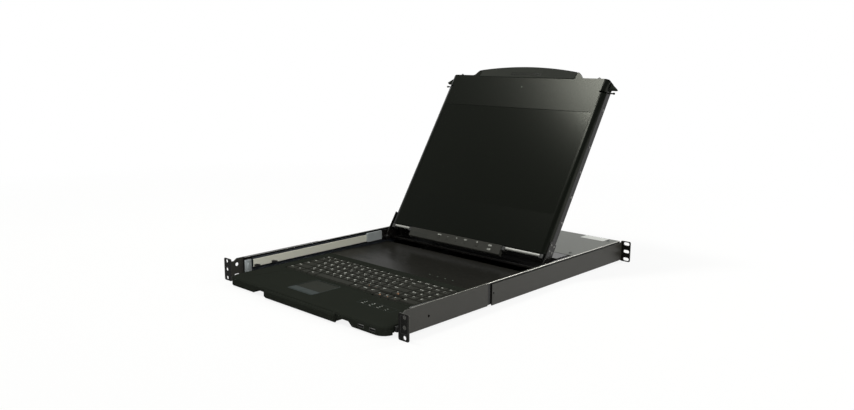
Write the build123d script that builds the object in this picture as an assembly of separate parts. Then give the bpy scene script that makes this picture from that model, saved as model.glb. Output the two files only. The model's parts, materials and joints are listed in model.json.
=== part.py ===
from build123d import *
import math
import os

# A rack-mounted console drawer: a flat steel chassis one rack unit high that holds a keyboard drawer below
# and a display on its own carriage above. Both run out on three-piece telescopic slides.
# Sizes are millimetres. X points to the user's right, Y into the rack and Z up. The origin is the middle
# of the hole pattern on the front face of the front ears.

# Clearance between pieces that move past each other, and the sheet thickness of the chassis
MOVING_GAP = 0.3
SHEET = 1.2

# Rack standard: width over the ears, and the mounting holes
RACK_WIDTH = 482.6
HOLE_INSET = 8.75
HOLE_PITCH = 15.875
HOLE_RADIUS = 3.4
HOLE_EDGE = 5.175
EAR_WIDTH = 21.8
EAR_THICK = 2.0
EAR_CORNER = 3.0

# Chassis: one folded sheet with a rear cover
CHASSIS_FRONT = 27.0
RIM_WIDTH = 5.0
BEAD_WIDTH = 12.0
BEAD_DEPTH = 1.2
COVER_SKIRT = 10.0
COVER_GAP = 0.3
REAR_BAY = 170.5
SCREW_INSET = 16.0

# Front brackets fixed outside the chassis walls, and rear brackets that slide along them
FRONT_ARM_END = 207.0
ARM_THICK = 2.0
ARM_SCREW_Y = 64.0
ARM_SPLIT = 11.0
REAR_EAR_GAP = 4.0
REAR_ARM_DROP = 3.5
REAR_SLOT_LENGTH = 13.0
REAR_SLOT_RADIUS = 3.25
BRACKET_TRAVEL = 150.0
GROOVE_DEPTH = 1.0
GROOVE_INSET = 8.0
STUD_RADIUS = 2.9

# Telescopic slides: the narrow pair carries the keyboard, the wide pair above it the display
SLIDE_FRONT = 44.0
SLIDE_SHEET = 1.0
SLIDE_REACH = 5.6
SLIDE_NEST = 1.4
SLIDE_STEP = 2.3
SLIDE_BACK = 2.6
KEYBOARD_SLIDE_HEIGHT = 10.4
KEYBOARD_SLIDE_RISE = 1.6
SLIDE_APART = 1.7
SLIDE_UNDER_RIM = 2.4
END_PLATE_RISE = 4.4
END_PLATE_DROP = 6.3
END_PLATE_GAP = 0.4
END_PLATE_SHEET = 1.6
STOP_LENGTH = 12.0
STOP_INSET = 1.5
STOP_APART = 39.5
STOP_REACH = 3.0

# Keyboard drawer: lower moulding, top deck and the panel behind the keys
RUN_GAP = 1.3
TRAY_HEIGHT = 6.0
TRAY_FRONT = -16.0
TRAY_CORNER = 20.0
SKIRT_DROP = 3.5
SKIRT_DEPTH = 18.0
DECK_SIDE = 5.2
DECK_THICK = 5.0
SPLIT_GAP = 2.4
PANEL_DROP = 1.0
PANEL_FLAT = 48.0
PANEL_SLOPE = 40.0
PANEL_FALL = 2.0
GRIP_LEFT = -88.0
GRIP_RIGHT = 96.0
GRIP_REACH = 5.5
SCALLOP_WIDTH = 38.0
SCALLOP_HEIGHT = 7.0
PALM_INSET = 28.0
PALM_TAPER = 17.0
LEVER_LENGTH = 13.0
LEVER_OUT = 6.0
LEVER_IN = 1.6
LEVER_TRAVEL = 3.0

# Keys: a 19 column layout that fills the deck between its margins
KEY_COLUMNS = 19
KEY_ROWS = 5
ROW_PITCH = 19.0
FUNCTION_PITCH = 14.0
KEY_SIDE = 25.5
KEY_REAR_MARGIN = 21.0
KEY_GAP = 1.6
KEY_HEIGHT = 3.6
KEY_TAPER = 1.5
KEY_STAND = 1.2
KEY_TRAVEL = 1.7
KEYS_MARGIN = 1.6
ARROW_SHIFT = 5.0
STEM = 4.0
STEM_DROP = 3.2
PLATE_THICK = 0.6

# Touchpad and its two buttons
PAD_LEFT = -70.0
PAD_WIDTH = 65.0
PAD_LENGTH = 44.0
PAD_DEPTH = 2.4
PAD_SKIN = 1.5
PAD_TO_KEYS = 14.0
BUTTON_FRONT = 17.0
BUTTON_LENGTH = 19.0
BUTTON_GAP = 0.4
BUTTON_TRAVEL = 0.8

# Display: a metal back shell and a moulded bezel on two arms, hinged down between the carriage plates
OPEN_ANGLE = 122.3
SHUT_FRONT = -20.7
EDGE_RISE = 32.7
FACE_OFFSET = 5.16
KEY_CLEARANCE = 1.14
RIM_CLEARANCE = 1.16
DISPLAY_LENGTH = 372.0
DISPLAY_THICK = 21.5
BEZEL_THICK = 8.0
BEVEL_WIDTH = 13.0
BEVEL_DEPTH = 6.5
SIDE_BORDER = 14.5
TOP_BORDER = 75.2
LOW_BORDER = 78.8
SCREEN_SINK = 0.6
SCREEN_GAP = 0.3
PANEL_THICK = 3.0
MODULE_THICK = 6.0
MODULE_RIM = 5.0
HANDLE_INSET = 80.0
HANDLE_DIP = 3.0
SHOULDER_RISE = 13.0
CREST_RISE = 10.3
HANDLE_THICK = 16.0
SHOULDER_RUN = 22.0
ARM_PLATE = 2.0
COLLAR = 3.7
KNUCKLE_RADIUS = 5.2
PIN_RADIUS = 3.0
PIN_FIT = 0.05
HOOK_DROP = 3.5
HOOK_HEIGHT = 14.5
HOOK_GAP = 0.5
LATCH_PIN_DROP = 26.0
LATCH_PIN_GAP = 2.5
TOP_SCREW_DROP = 62.0
NEXT_SCREW_DROP = 143.0
LOW_SCREW_RISE = 69.0
LOWER_SCREWS = 4
BUMPER_INSET = 23.0

# Control strip under the display, between two bright bars
STRIP_LEFT_INSET = 63.0
STRIP_RIGHT_INSET = 101.0
STRIP_DROP = 21.0
STRIP_THICK = 9.0
BAR_RADIUS = 3.2
BLOCK_WIDTH = 8.0
OSD_BUTTONS = 4
OSD_PITCH = 23.3
OSD_INSET = 81.6
OSD_RADIUS = 2.2
POWER_INSET = 60.5
POWER_RADIUS = 3.4
PRESS_TRAVEL = 0.8
PRESS_FIT = 0.3

# Display carriage: side plates on the inner slides, joined by a folded bridge behind the hinge
PLATE_SHEET = 2.5
PLATE_AHEAD = 54.0
BRIDGE_GAP = 15.0
SHELF_DEPTH = 26.0
ROOF_DEPTH = 38.5
BRIDGE_LIFT = 3.2
COVER_CLEARANCE = 2.0
SLIDE_SHORT = 8.5

# Rear bay: sockets, power supply and board
INLET_INSET = 48.3
INLET_WIDTH = 27.4
INLET_HEIGHT = 20.0
INLET_DEPTH = 16.0
INLET_TO_ROCKER = 32.0
ROCKER_WIDTH = 13.0
ROCKER_HEIGHT = 19.0
ROCKER_TILT = 7.0
ROCKER_TO_VIDEO = 48.0
VIDEO_TO_DATA = 34.0
DATA_TO_LAN = 66.0
LAN_PITCH = 24.0
SOCKET_DROP = 4.4
BAY_MARGIN = 15.0
SUPPLY_INSET = 24.0
SUPPLY_WIDTH = 84.0
SUPPLY_FEET = 3.0
BOARD_GAP = 7.0
BOARD_WIDTH = 255.0
BOARD_RISE = 6.0
BOARD_THICK = 1.6
USB_WIDTH = 13.1
USB_HEIGHT = 5.1
USB_DEPTH = 14.0
USB_CORNER = 26.0
USB_PITCH = 25.5

# Widths worked out from the sizes above
CHASSIS_HALF = RACK_WIDTH / 2 - EAR_WIDTH
HOLE_HALF_SPAN = RACK_WIDTH / 2 - HOLE_INSET
EAR_HEIGHT = 2 * (HOLE_PITCH + HOLE_EDGE)
WALL_IN = CHASSIS_HALF - SHEET
ARM_OUT = CHASSIS_HALF + ARM_THICK
INNER_FACE = WALL_IN - 2 * SLIDE_STEP - 2 * SLIDE_SHEET - 0.5
PLATE_IN = INNER_FACE - PLATE_SHEET
DECK_HALF = INNER_FACE - DECK_SIDE
ARM_FACE = PLATE_IN - COLLAR
DISPLAY_HALF = ARM_FACE - ARM_PLATE
SCREEN_WIDTH = 2 * (DISPLAY_HALF - SIDE_BORDER)
KEYS_LEFT = KEY_SIDE - DECK_HALF
KEY_PITCH = -2 * KEYS_LEFT / KEY_COLUMNS
PAD_RIGHT = PAD_LEFT + PAD_WIDTH

# Levels worked out from the pan up to the rims
CHASSIS_HEIGHT = (SHEET + RUN_GAP + TRAY_HEIGHT + DECK_THICK + KEY_STAND + KEY_CLEARANCE
                  + DISPLAY_THICK + RIM_CLEARANCE)
TOP = EAR_HEIGHT / 2
FLOOR = TOP - CHASSIS_HEIGHT
PAN_TOP = FLOOR + SHEET
TRAY_BOTTOM = PAN_TOP + RUN_GAP
TRAY_TOP = TRAY_BOTTOM + TRAY_HEIGHT
DECK_TOP = TRAY_TOP + DECK_THICK
KEY_TOP = DECK_TOP + KEY_STAND
FOLDED_FACE = KEY_TOP + KEY_CLEARANCE
HINGE_Z = FOLDED_FACE + FACE_OFFSET
SKIRT_LOW = TRAY_BOTTOM - SKIRT_DROP
LCD_SLIDE_RISE = KEYBOARD_SLIDE_RISE + KEYBOARD_SLIDE_HEIGHT + SLIDE_APART
LCD_SLIDE_HEIGHT = TOP - SHEET - SLIDE_UNDER_RIM - PAN_TOP - LCD_SLIDE_RISE
SOCKET_Z = (PAN_TOP + TOP) / 2 - SOCKET_DROP
USB_Z = TRAY_BOTTOM + TRAY_HEIGHT / 2 + 0.2

# Places into the rack, worked out from the front ears back
HINGE_Y = SHUT_FRONT + DISPLAY_LENGTH + EDGE_RISE
TRAY_REAR = HINGE_Y + 4.0
PLATE_FRONT = HINGE_Y - PLATE_AHEAD
BRIDGE_FRONT = HINGE_Y + BRIDGE_GAP
BRIDGE_STEP = BRIDGE_FRONT + SHELF_DEPTH
BRIDGE_REAR = BRIDGE_STEP + ROOF_DEPTH
SLIDE_REAR = BRIDGE_REAR - SLIDE_SHORT
COVER_FRONT = BRIDGE_REAR + COVER_CLEARANCE
CHASSIS_REAR = COVER_FRONT + REAR_BAY
REAR_EAR_Y = CHASSIS_REAR + REAR_EAR_GAP
REAR_ARM_FRONT = FRONT_ARM_END + ARM_SPLIT
PAD_FRONT = BUTTON_FRONT + BUTTON_LENGTH
PAD_REAR = PAD_FRONT + PAD_LENGTH
KEYS_FRONT = PAD_REAR + PAD_TO_KEYS
KEYS_REAR = KEYS_FRONT + KEY_ROWS * ROW_PITCH + FUNCTION_PITCH
DECK_SPLIT = KEYS_REAR + KEY_REAR_MARGIN
CREASE_Y = DECK_SPLIT + SPLIT_GAP + PANEL_FLAT
LEVER_FRONT = TRAY_FRONT + TRAY_CORNER + 2.0
LEVER_REAR = LEVER_FRONT + LEVER_LENGTH
BAY_FRONT = COVER_FRONT + BAY_MARGIN
BAY_REAR = CHASSIS_REAR - INLET_DEPTH - 8.0

# Places up the display's face, and across the rear panel
DISPLAY_TILT = 180.0 - OPEN_ANGLE
SCREEN_HEIGHT = DISPLAY_LENGTH - LOW_BORDER - TOP_BORDER
HANDLE_LOW = DISPLAY_LENGTH - HANDLE_DIP
HANDLE_SHOULDER = DISPLAY_LENGTH + SHOULDER_RISE
HANDLE_CREST = HANDLE_SHOULDER + CREST_RISE
HOOK_HIGH = DISPLAY_LENGTH - HOOK_DROP
HOOK_LOW = HOOK_HIGH - HOOK_HEIGHT
HOOK_TIP = CHASSIS_HALF - HOOK_GAP
LATCH_PIN_S = DISPLAY_LENGTH - LATCH_PIN_DROP
LATCH_PIN_TIP = CHASSIS_HALF - LATCH_PIN_GAP
BAR_END = DISPLAY_HALF - BEVEL_WIDTH
HANDLE_HALF = DISPLAY_HALF - HANDLE_INSET
STRIP_LEFT = STRIP_LEFT_INSET - DISPLAY_HALF
STRIP_RIGHT = DISPLAY_HALF - STRIP_RIGHT_INSET
SIDE_SCREW_PITCH = (DISPLAY_LENGTH - NEXT_SCREW_DROP - LOW_SCREW_RISE) / (LOWER_SCREWS - 1)
INLET_X = INLET_INSET - WALL_IN
ROCKER_X = INLET_X + INLET_TO_ROCKER
VIDEO_X = ROCKER_X + ROCKER_TO_VIDEO
DATA_X = VIDEO_X + VIDEO_TO_DATA
LAN_X = DATA_X + DATA_TO_LAN
SUPPLY_LEFT = SUPPLY_INSET - WALL_IN
BOARD_LEFT = SUPPLY_LEFT + SUPPLY_WIDTH + BOARD_GAP
USB_FIRST = DECK_HALF - USB_CORNER - USB_PITCH


def block(x0, x1, y0, y1, z0, z1):
    """A rectangular solid between two corners."""
    return Pos((x0 + x1) / 2, (y0 + y1) / 2, (z0 + z1) / 2) * Box(x1 - x0, y1 - y0, z1 - z0)


def polygon(*points):
    return make_face(Polyline(*points, close=True))


def along_x(outline, x0, x1):
    """Extrudes an outline drawn in Y and Z."""
    return extrude(Plane.YZ.offset(x0) * outline, amount=x1 - x0)


def along_y(outline, y0, y1):
    """Extrudes an outline drawn in X and Z."""
    start = Plane(origin=(0, y1, 0), x_dir=(1, 0, 0), z_dir=(0, -1, 0))
    return extrude(start * outline, amount=y1 - y0)


def along_z(outline, z0, z1):
    """Extrudes an outline drawn in X and Y."""
    return extrude(Plane.XY.offset(z0) * outline, amount=z1 - z0)


def rod_x(radius, x0, x1, y, z):
    return Pos((x0 + x1) / 2, y, z) * Rot(0, 90, 0) * Cylinder(radius, x1 - x0)


def rod_y(radius, y0, y1, x, z):
    return Pos(x, (y0 + y1) / 2, z) * Rot(90, 0, 0) * Cylinder(radius, y1 - y0)


def both_sides(shape):
    """A pair of solids, the second mirrored to the user's left."""
    return [shape, mirror(shape, about=Plane.YZ)]


def on_display(shape):
    """Places a shape drawn flat in the display's own frame: X, S up its face and N out of its face."""
    return Pos(0, HINGE_Y, HINGE_Z) * Rot(DISPLAY_TILT, 0, 0) * Pos(0, EDGE_RISE, FACE_OFFSET) * shape


def save(shape, name):
    solids = shape if isinstance(shape, list) else [shape]
    whole = solids[0] if len(solids) == 1 else Compound(children=list(solids))
    export_step(whole, f"parts/{name}.step")


def chassis_tray():
    """Bottom and side walls in one sheet, with rims turned in at the top and four stiffening beads."""
    w, i, r = CHASSIS_HALF, WALL_IN, CHASSIS_HALF - RIM_WIDTH
    lip = TOP - SHEET
    section = polygon(
        (-w, FLOOR), (w, FLOOR), (w, TOP), (r, TOP), (r, lip), (i, lip),
        (i, PAN_TOP), (-i, PAN_TOP), (-i, lip), (-r, lip), (-r, TOP), (-w, TOP))
    corners = [v for v in section.vertices() if abs(abs(v.X) - w) < 0.01]
    section = fillet(corners, SHEET)
    tray = along_y(section, CHASSIS_FRONT, CHASSIS_REAR)
    tray -= block(-i, i, COVER_FRONT - COVER_GAP, CHASSIS_REAR, lip, TOP)
    bead = polygon(
        (-BEAD_WIDTH / 2, FLOOR), (BEAD_WIDTH / 2, FLOOR),
        (BEAD_WIDTH / 2 - BEAD_DEPTH, FLOOR - BEAD_DEPTH), (-BEAD_WIDTH / 2 + BEAD_DEPTH, FLOOR - BEAD_DEPTH))
    bead_rear = COVER_FRONT - BEAD_WIDTH
    for x in (-0.7 * i, -0.25 * i, 0.25 * i, 0.7 * i):
        tray += Pos(x, 0, 0) * along_y(bead, CHASSIS_FRONT + BEAD_WIDTH, bead_rear)
    slot_pitch = 12.0
    slot_width = 4.0
    vent_front = CHASSIS_REAR - 70.0
    for n in range(9):
        x = (n - 4) * slot_pitch
        tray -= block(x - slot_width / 2, x + slot_width / 2, vent_front, vent_front + 34.0, FLOOR - 1, PAN_TOP + 1)
    return tray


def rear_cover():
    """Lid over the rear bay, with its edges turned down inside the walls."""
    half = WALL_IN - COVER_GAP
    skirt = TOP - COVER_SKIRT
    section = polygon(
        (-half, skirt), (-half + SHEET, skirt), (-half + SHEET, TOP - SHEET), (half - SHEET, TOP - SHEET),
        (half - SHEET, skirt), (half, skirt), (half, TOP), (-half, TOP))
    cover = along_y(section, COVER_FRONT, CHASSIS_REAR - SHEET - COVER_GAP)
    cover += block(-half, half, COVER_FRONT, COVER_FRONT + SHEET, TOP - 4.0, TOP - SHEET)
    for x, y in cover_screw_places():
        cover -= Pos(x, y, TOP) * Cylinder(2.0, 2 * SHEET + 1)
    return cover


def cover_screw_places():
    rows = (COVER_FRONT + SCREW_INSET, CHASSIS_REAR - SCREW_INSET)
    return [(x, y) for x in (SCREW_INSET - WALL_IN, WALL_IN - SCREW_INSET) for y in rows]


def cover_screws():
    """Flat-headed screws that hold the lid down to posts in the chassis."""
    screws = []
    for x, y in cover_screw_places():
        head = Pos(x, y, TOP + 0.3) * Cylinder(3.4, 0.6)
        post = Pos(x, y, (TOP - SHEET + PAN_TOP) / 2) * Cylinder(3.4, TOP - SHEET - PAN_TOP)
        screws.append(head + Pos(x, y, TOP - SHEET / 2) * Cylinder(1.9, SHEET) + post)
    return screws


def rear_panel():
    """Back plate of the chassis, cut for the inlet, the rocker switch and the sockets."""
    panel = block(-WALL_IN, WALL_IN, CHASSIS_REAR - SHEET, CHASSIS_REAR, PAN_TOP, TOP - COVER_GAP)
    through = (CHASSIS_REAR - 2 * SHEET, CHASSIS_REAR + SHEET)
    cuts = [(INLET_X, INLET_WIDTH, INLET_HEIGHT), (ROCKER_X, ROCKER_WIDTH, ROCKER_HEIGHT)]
    cuts += [(VIDEO_X, 24.0, 10.0), (DATA_X, 14.0, 12.0)]
    cuts += [(LAN_X + n * LAN_PITCH, 16.0, 14.0) for n in range(3)]
    for x, width, height in cuts:
        panel -= block(x - width / 2, x + width / 2, *through, SOCKET_Z - height / 2, SOCKET_Z + height / 2)
    for n in range(12):
        x = LAN_X + 3 * LAN_PITCH + 18.0 + n * 8.0
        panel -= block(x - 1.8, x + 1.8, *through, SOCKET_Z - 10, SOCKET_Z + 10)
    return panel


def ear_plate(rear):
    """One ear, drawn in X and Z: rounded corners and three holes, slotted on the rear ears."""
    inner = CHASSIS_HALF
    width = EAR_WIDTH
    plate = Pos(inner + width / 2, 0) * RectangleRounded(width, EAR_HEIGHT, EAR_CORNER)
    for z in (-HOLE_PITCH, 0, HOLE_PITCH):
        if rear:
            plate -= Pos(HOLE_HALF_SPAN, z) * SlotOverall(REAR_SLOT_LENGTH, 2 * REAR_SLOT_RADIUS)
        else:
            plate -= Pos(HOLE_HALF_SPAN, z) * Circle(HOLE_RADIUS)
    return plate


def front_bracket(latch_holes):
    """Ear with an arm bent back along the outside of the chassis wall."""
    relief = 4.5
    low = FLOOR
    arm_outline = polygon(
        (0, -TOP + EAR_CORNER), (relief, -TOP + EAR_CORNER), (relief + 3, low), (FRONT_ARM_END, low),
        (FRONT_ARM_END, TOP), (relief * 3, TOP), (relief * 1.6, TOP - relief), (0, TOP - relief))
    bracket = along_y(ear_plate(False), 0, EAR_THICK)
    bracket += along_x(arm_outline, CHASSIS_HALF, ARM_OUT)
    bracket -= rod_x(2.2, CHASSIS_HALF - 1, ARM_OUT + 1, ARM_SCREW_Y, 0.2)
    if latch_holes:
        bracket -= rod_x(3.4, CHASSIS_HALF - 1, ARM_OUT + 1, 13.6, 9.4)
        slot = Plane.YZ.offset(CHASSIS_HALF - 1) * (Pos(12.5, -10.6) * SlotOverall(11.0, 4.4))
        bracket -= extrude(slot, amount=ARM_THICK + 2)
    return bracket


def front_brackets():
    right = front_bracket(False)
    left = mirror(front_bracket(True), about=Plane.YZ)
    return right, left


def rear_bracket():
    """Ear and long arm that slides along the chassis wall, guided by a groove on its inner face."""
    x0 = CHASSIS_HALF + MOVING_GAP
    x1 = x0 + ARM_THICK
    top = TOP - REAR_ARM_DROP
    ear_front = REAR_EAR_Y
    arm_outline = polygon(
        (REAR_ARM_FRONT, FLOOR - 1.4), (ear_front - 6, FLOOR - 1.4), (ear_front, -TOP + EAR_CORNER),
        (ear_front + EAR_THICK, -TOP + EAR_CORNER), (ear_front + EAR_THICK, TOP - EAR_CORNER),
        (ear_front, TOP - EAR_CORNER), (ear_front - 8, top), (REAR_ARM_FRONT, top))
    bracket = along_x(arm_outline, x0, x1)
    ear = ear_plate(True) - Pos(x0 - 10, 0) * Rectangle(20, 2 * EAR_HEIGHT)
    bracket += along_y(ear, ear_front, ear_front + EAR_THICK)
    groove_front = REAR_ARM_FRONT + GROOVE_INSET
    half = STUD_RADIUS + MOVING_GAP
    bracket -= block(x0 - 1, x0 + GROOVE_DEPTH, groove_front, ear_front - GROOVE_INSET, -half, half)
    bracket -= rod_x(1.8, x0 - 1, x1 + 1, REAR_ARM_FRONT + 4, 2.0)
    return bracket


def bracket_studs():
    """Guide studs on the chassis walls that run in the rear brackets' grooves, clear of their floors."""
    reach = GROOVE_DEPTH
    studs = []
    front_stud = REAR_ARM_FRONT + GROOVE_INSET + BRACKET_TRAVEL + 3 * STUD_RADIUS
    for y in (front_stud, REAR_EAR_Y - 2 * GROOVE_INSET - 3 * STUD_RADIUS):
        studs += both_sides(rod_x(STUD_RADIUS, CHASSIS_HALF, CHASSIS_HALF + reach, y, 0))
    return studs


def slide_rises(height, rise):
    z0 = PAN_TOP + rise
    return z0, z0 + height


def slide_member(level, height, rise):
    """The right-hand member of a telescopic slide: level 0 is on the wall, 1 between, 2 on the moving part."""
    z0, z1 = slide_rises(height, rise)
    z0 += level * SLIDE_NEST
    z1 -= level * SLIDE_NEST
    t = SLIDE_SHEET
    if level == 2:
        web, tip = INNER_FACE, INNER_FACE + SLIDE_BACK
        sign = 1
    else:
        web = WALL_IN - level * SLIDE_STEP
        tip = web - SLIDE_REACH + level * (SLIDE_STEP - 0.4)
        sign = -1
    section = polygon(
        (web, z0), (tip, z0), (tip, z0 + t), (web + sign * t, z0 + t),
        (web + sign * t, z1 - t), (tip, z1 - t), (tip, z1), (web, z1))
    return along_y(section, SLIDE_FRONT, SLIDE_REAR)


def slide_end_brackets():
    """Zinc-plated plates that tie the fixed slide members to the wall at the front."""
    z0, z1 = PAN_TOP + END_PLATE_RISE, TOP - END_PLATE_DROP
    y0, y1 = CHASSIS_FRONT + END_PLATE_SHEET, SLIDE_FRONT - END_PLATE_GAP
    outline = fillet(polygon((y0, z0), (y1, z0), (y1, z1), (y0, z1)).vertices(), 1.0)
    plate = along_x(outline, WALL_IN - END_PLATE_SHEET, WALL_IN)
    for z in (z0 + 6, z1 - 6):
        plate -= rod_x(1.7, WALL_IN - 3, WALL_IN - 0.8, (y0 + y1) / 2, z)
    return both_sides(plate)


def tray_outline(half, front):
    """Plan of the keyboard drawer's moulding, with large rounded front corners."""
    outline = polygon((-half, front), (half, front), (half, TRAY_REAR), (-half, TRAY_REAR))
    corners = [v for v in outline.vertices() if abs(v.Y - front) < 0.01]
    return fillet(corners, TRAY_CORNER)


def scallop(x0, x1, low):
    """The finger cut-out under the front edge, drawn in X and Z."""
    step = SCALLOP_WIDTH * 0.22
    high = low + SCALLOP_HEIGHT
    shape = polygon((x0, low - 5), (x1, low - 5), (x1, low), (x1 - step, high), (x0 + step, high), (x0, low))
    upper = [v for v in shape.vertices() if v.Y > low + 1]
    return fillet(upper, 3.0)


def keyboard_tray():
    """Lower moulding: shallow tray, slide rails at its sides and a deeper front skirt with finger cut-outs."""
    outline = tray_outline(DECK_HALF, TRAY_FRONT)
    tray = along_z(outline, TRAY_BOTTOM, TRAY_TOP)
    skirt_rear = TRAY_FRONT + SKIRT_DEPTH
    skirt = along_z(outline, SKIRT_LOW, TRAY_BOTTOM)
    tray += skirt & block(-DECK_HALF, DECK_HALF, TRAY_FRONT, skirt_rear, SKIRT_LOW, TRAY_BOTTOM)
    z0, z1 = slide_rises(KEYBOARD_SLIDE_HEIGHT, KEYBOARD_SLIDE_RISE)
    rail = 2 * SLIDE_NEST
    for x0, x1 in ((DECK_HALF - 1, INNER_FACE), (-INNER_FACE, -DECK_HALF + 1)):
        tray += block(x0, x1, SLIDE_FRONT, TRAY_REAR - 3, z0 + rail, min(z1 - rail, TRAY_TOP))
    grip_low = SKIRT_LOW - 1.5
    grip = polygon(
        (TRAY_FRONT + 1, grip_low), (TRAY_FRONT - GRIP_REACH + 3.5, grip_low),
        (TRAY_FRONT - GRIP_REACH, grip_low + 4), (TRAY_FRONT - GRIP_REACH, TRAY_TOP + 1.5),
        (TRAY_FRONT - GRIP_REACH + 2.2, TRAY_TOP + 3.7), (TRAY_FRONT, TRAY_TOP + 3.7), (TRAY_FRONT, TRAY_TOP - 1),
        (TRAY_FRONT + 1, TRAY_TOP - 1))
    tray += along_x(grip, GRIP_LEFT, GRIP_RIGHT)
    for x0 in (GRIP_LEFT - SCALLOP_WIDTH, GRIP_RIGHT):
        x1 = x0 + SCALLOP_WIDTH
        tray -= along_y(scallop(x0, x1, SKIRT_LOW), TRAY_FRONT - 1, skirt_rear + 1)
    for n in range(2):
        x = USB_FIRST + n * USB_PITCH
        tray -= usb_shell_outline(x, 0.3)
    tray -= key_pocket()
    slot = DECK_HALF - LEVER_IN - LEVER_TRAVEL - 3 * MOVING_GAP
    for x0, x1 in ((slot, DECK_HALF + 1), (-DECK_HALF - 1, -slot)):
        tray -= block(x0, x1, LEVER_FRONT - 0.4, LEVER_REAR + 0.4, SKIRT_LOW - 1, TRAY_TOP + 1)
    margin = 2 * BAY_MARGIN
    return tray - block(KEYS_LEFT + margin, -KEYS_LEFT - margin, DECK_SPLIT + BAY_MARGIN, TRAY_REAR - BAY_MARGIN,
                        TRAY_BOTTOM + SHEET, TRAY_TOP + 1)


def usb_shell_outline(x, gap):
    w = USB_WIDTH / 2 + gap
    h = USB_HEIGHT / 2 + gap
    return block(x - w, x + w, TRAY_FRONT - 1, TRAY_FRONT + USB_DEPTH + gap, USB_Z - h, USB_Z + h)


def key_pocket():
    """Room in the lower moulding for the key stems to travel."""
    inset = 3.0
    x = -KEYS_LEFT - inset
    low = KEY_TOP - KEY_HEIGHT - STEM_DROP - KEY_TRAVEL - 2 * MOVING_GAP
    front = KEYS_FRONT - ARROW_SHIFT + inset
    return block(-x, x, front, KEYS_REAR - inset, low, TRAY_TOP + 1)


def keyboard_board():
    """Circuit board of the keyboard, with two chips and its cable header, under the rear panel."""
    z = TRAY_BOTTOM + SHEET + 0.2
    top = z + BOARD_THICK
    half = -KEYS_LEFT - 4 * BAY_MARGIN
    front = DECK_SPLIT + 1.7 * BAY_MARGIN
    rear = TRAY_REAR - 1.5 * BAY_MARGIN
    board = block(-half, half, front, rear, z, top)
    for x in (-0.4 * half, 0.3 * half):
        board += block(x - 7, x + 7, front + 50, front + 64, top, top + 1.4)
    board += block(-20, 20, rear - 13, rear - 3, top, top + 2.4)
    return board


def key_window(margin, arrows):
    """Plan of the opening round the keys; the arrow keys stand further to the front."""
    left = KEYS_LEFT - margin
    right = -left
    front = KEYS_FRONT - margin
    rear = KEYS_REAR + margin
    a0 = KEYS_LEFT + 13 * KEY_PITCH - margin
    a1 = a0 + 3 * KEY_PITCH + 2 * margin
    return polygon(
        (left, front), (a0, front), (a0, front - arrows), (a1, front - arrows),
        (a1, front), (right, front), (right, rear), (left, rear))


def keyboard_deck():
    """Top moulding with the palm rest, the key opening, the touchpad pocket and a soft front edge."""
    outline = tray_outline(DECK_HALF, TRAY_FRONT)
    deck = along_z(outline, TRAY_TOP, DECK_TOP)
    deck -= block(-DECK_HALF - 1, DECK_HALF + 1, DECK_SPLIT, TRAY_REAR + 1, TRAY_TOP - 1, DECK_TOP + 1)
    edges = [e for e in deck.edges() if e.center().Z > DECK_TOP - 0.01 and e.center().Y < 8]
    deck = chamfer(edges, 2.4)
    deck -= along_z(key_window(KEYS_MARGIN, ARROW_SHIFT), TRAY_TOP - 1, DECK_TOP + 1)
    gap = BUTTON_GAP
    pocket_low = DECK_TOP - PAD_DEPTH - BUTTON_TRAVEL - MOVING_GAP
    deck -= block(PAD_LEFT - gap, PAD_RIGHT + gap, PAD_FRONT - gap, PAD_REAR + gap, DECK_TOP - PAD_DEPTH, DECK_TOP + 1)
    deck -= block(PAD_LEFT - gap, PAD_RIGHT + gap, BUTTON_FRONT - gap, PAD_FRONT - gap, pocket_low, DECK_TOP + 1)
    wide = DECK_HALF - PALM_INSET
    narrow = wide - PALM_TAPER
    rear = KEYS_FRONT - ARROW_SHIFT - KEYS_MARGIN
    palm = polygon((-wide, 2.5), (wide, 2.5), (narrow, rear), (-narrow, rear))
    deck -= along_z(palm, DECK_TOP - 0.4, DECK_TOP + 1)
    slot = DECK_HALF - LEVER_IN - LEVER_TRAVEL - 3 * MOVING_GAP
    for x0, x1 in ((slot, DECK_HALF + 1), (-DECK_HALF - 1, -slot)):
        deck -= block(x0, x1, LEVER_FRONT - 0.4, LEVER_REAR + 0.4, TRAY_TOP - 1, DECK_TOP - 1.6)
    return deck


def rear_deck():
    """Panel behind the keys: a flat strip for the lamps, then a long slope that dips under the display."""
    front = DECK_SPLIT + SPLIT_GAP
    top = DECK_TOP - PANEL_DROP
    outline = polygon(
        (front, TRAY_TOP), (TRAY_REAR, TRAY_TOP), (TRAY_REAR, top - PANEL_FALL),
        (CREASE_Y + PANEL_SLOPE, top - PANEL_FALL), (CREASE_Y, top), (front, top))
    return along_x(outline, -DECK_HALF, DECK_HALF)


def key_plate():
    """Metal plate under the keys with a square guide hole for each stem."""
    plate = along_z(key_window(KEYS_MARGIN - 0.4, ARROW_SHIFT), TRAY_TOP, TRAY_TOP + PLATE_THICK)
    holes = Sketch()
    side = STEM + 2 * MOVING_GAP
    for row in range(6):
        holes += [Pos(*key_centre(key)) * Rectangle(side, side) for key in key_places(row)]
    holes += [Pos(x, y) * Rectangle(side, side) for x, y in space_stems()]
    return plate - along_z(holes, TRAY_TOP - 1, TRAY_TOP + PLATE_THICK + 1)


def row_depth(row):
    return FUNCTION_PITCH if row == KEY_ROWS else ROW_PITCH


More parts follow.
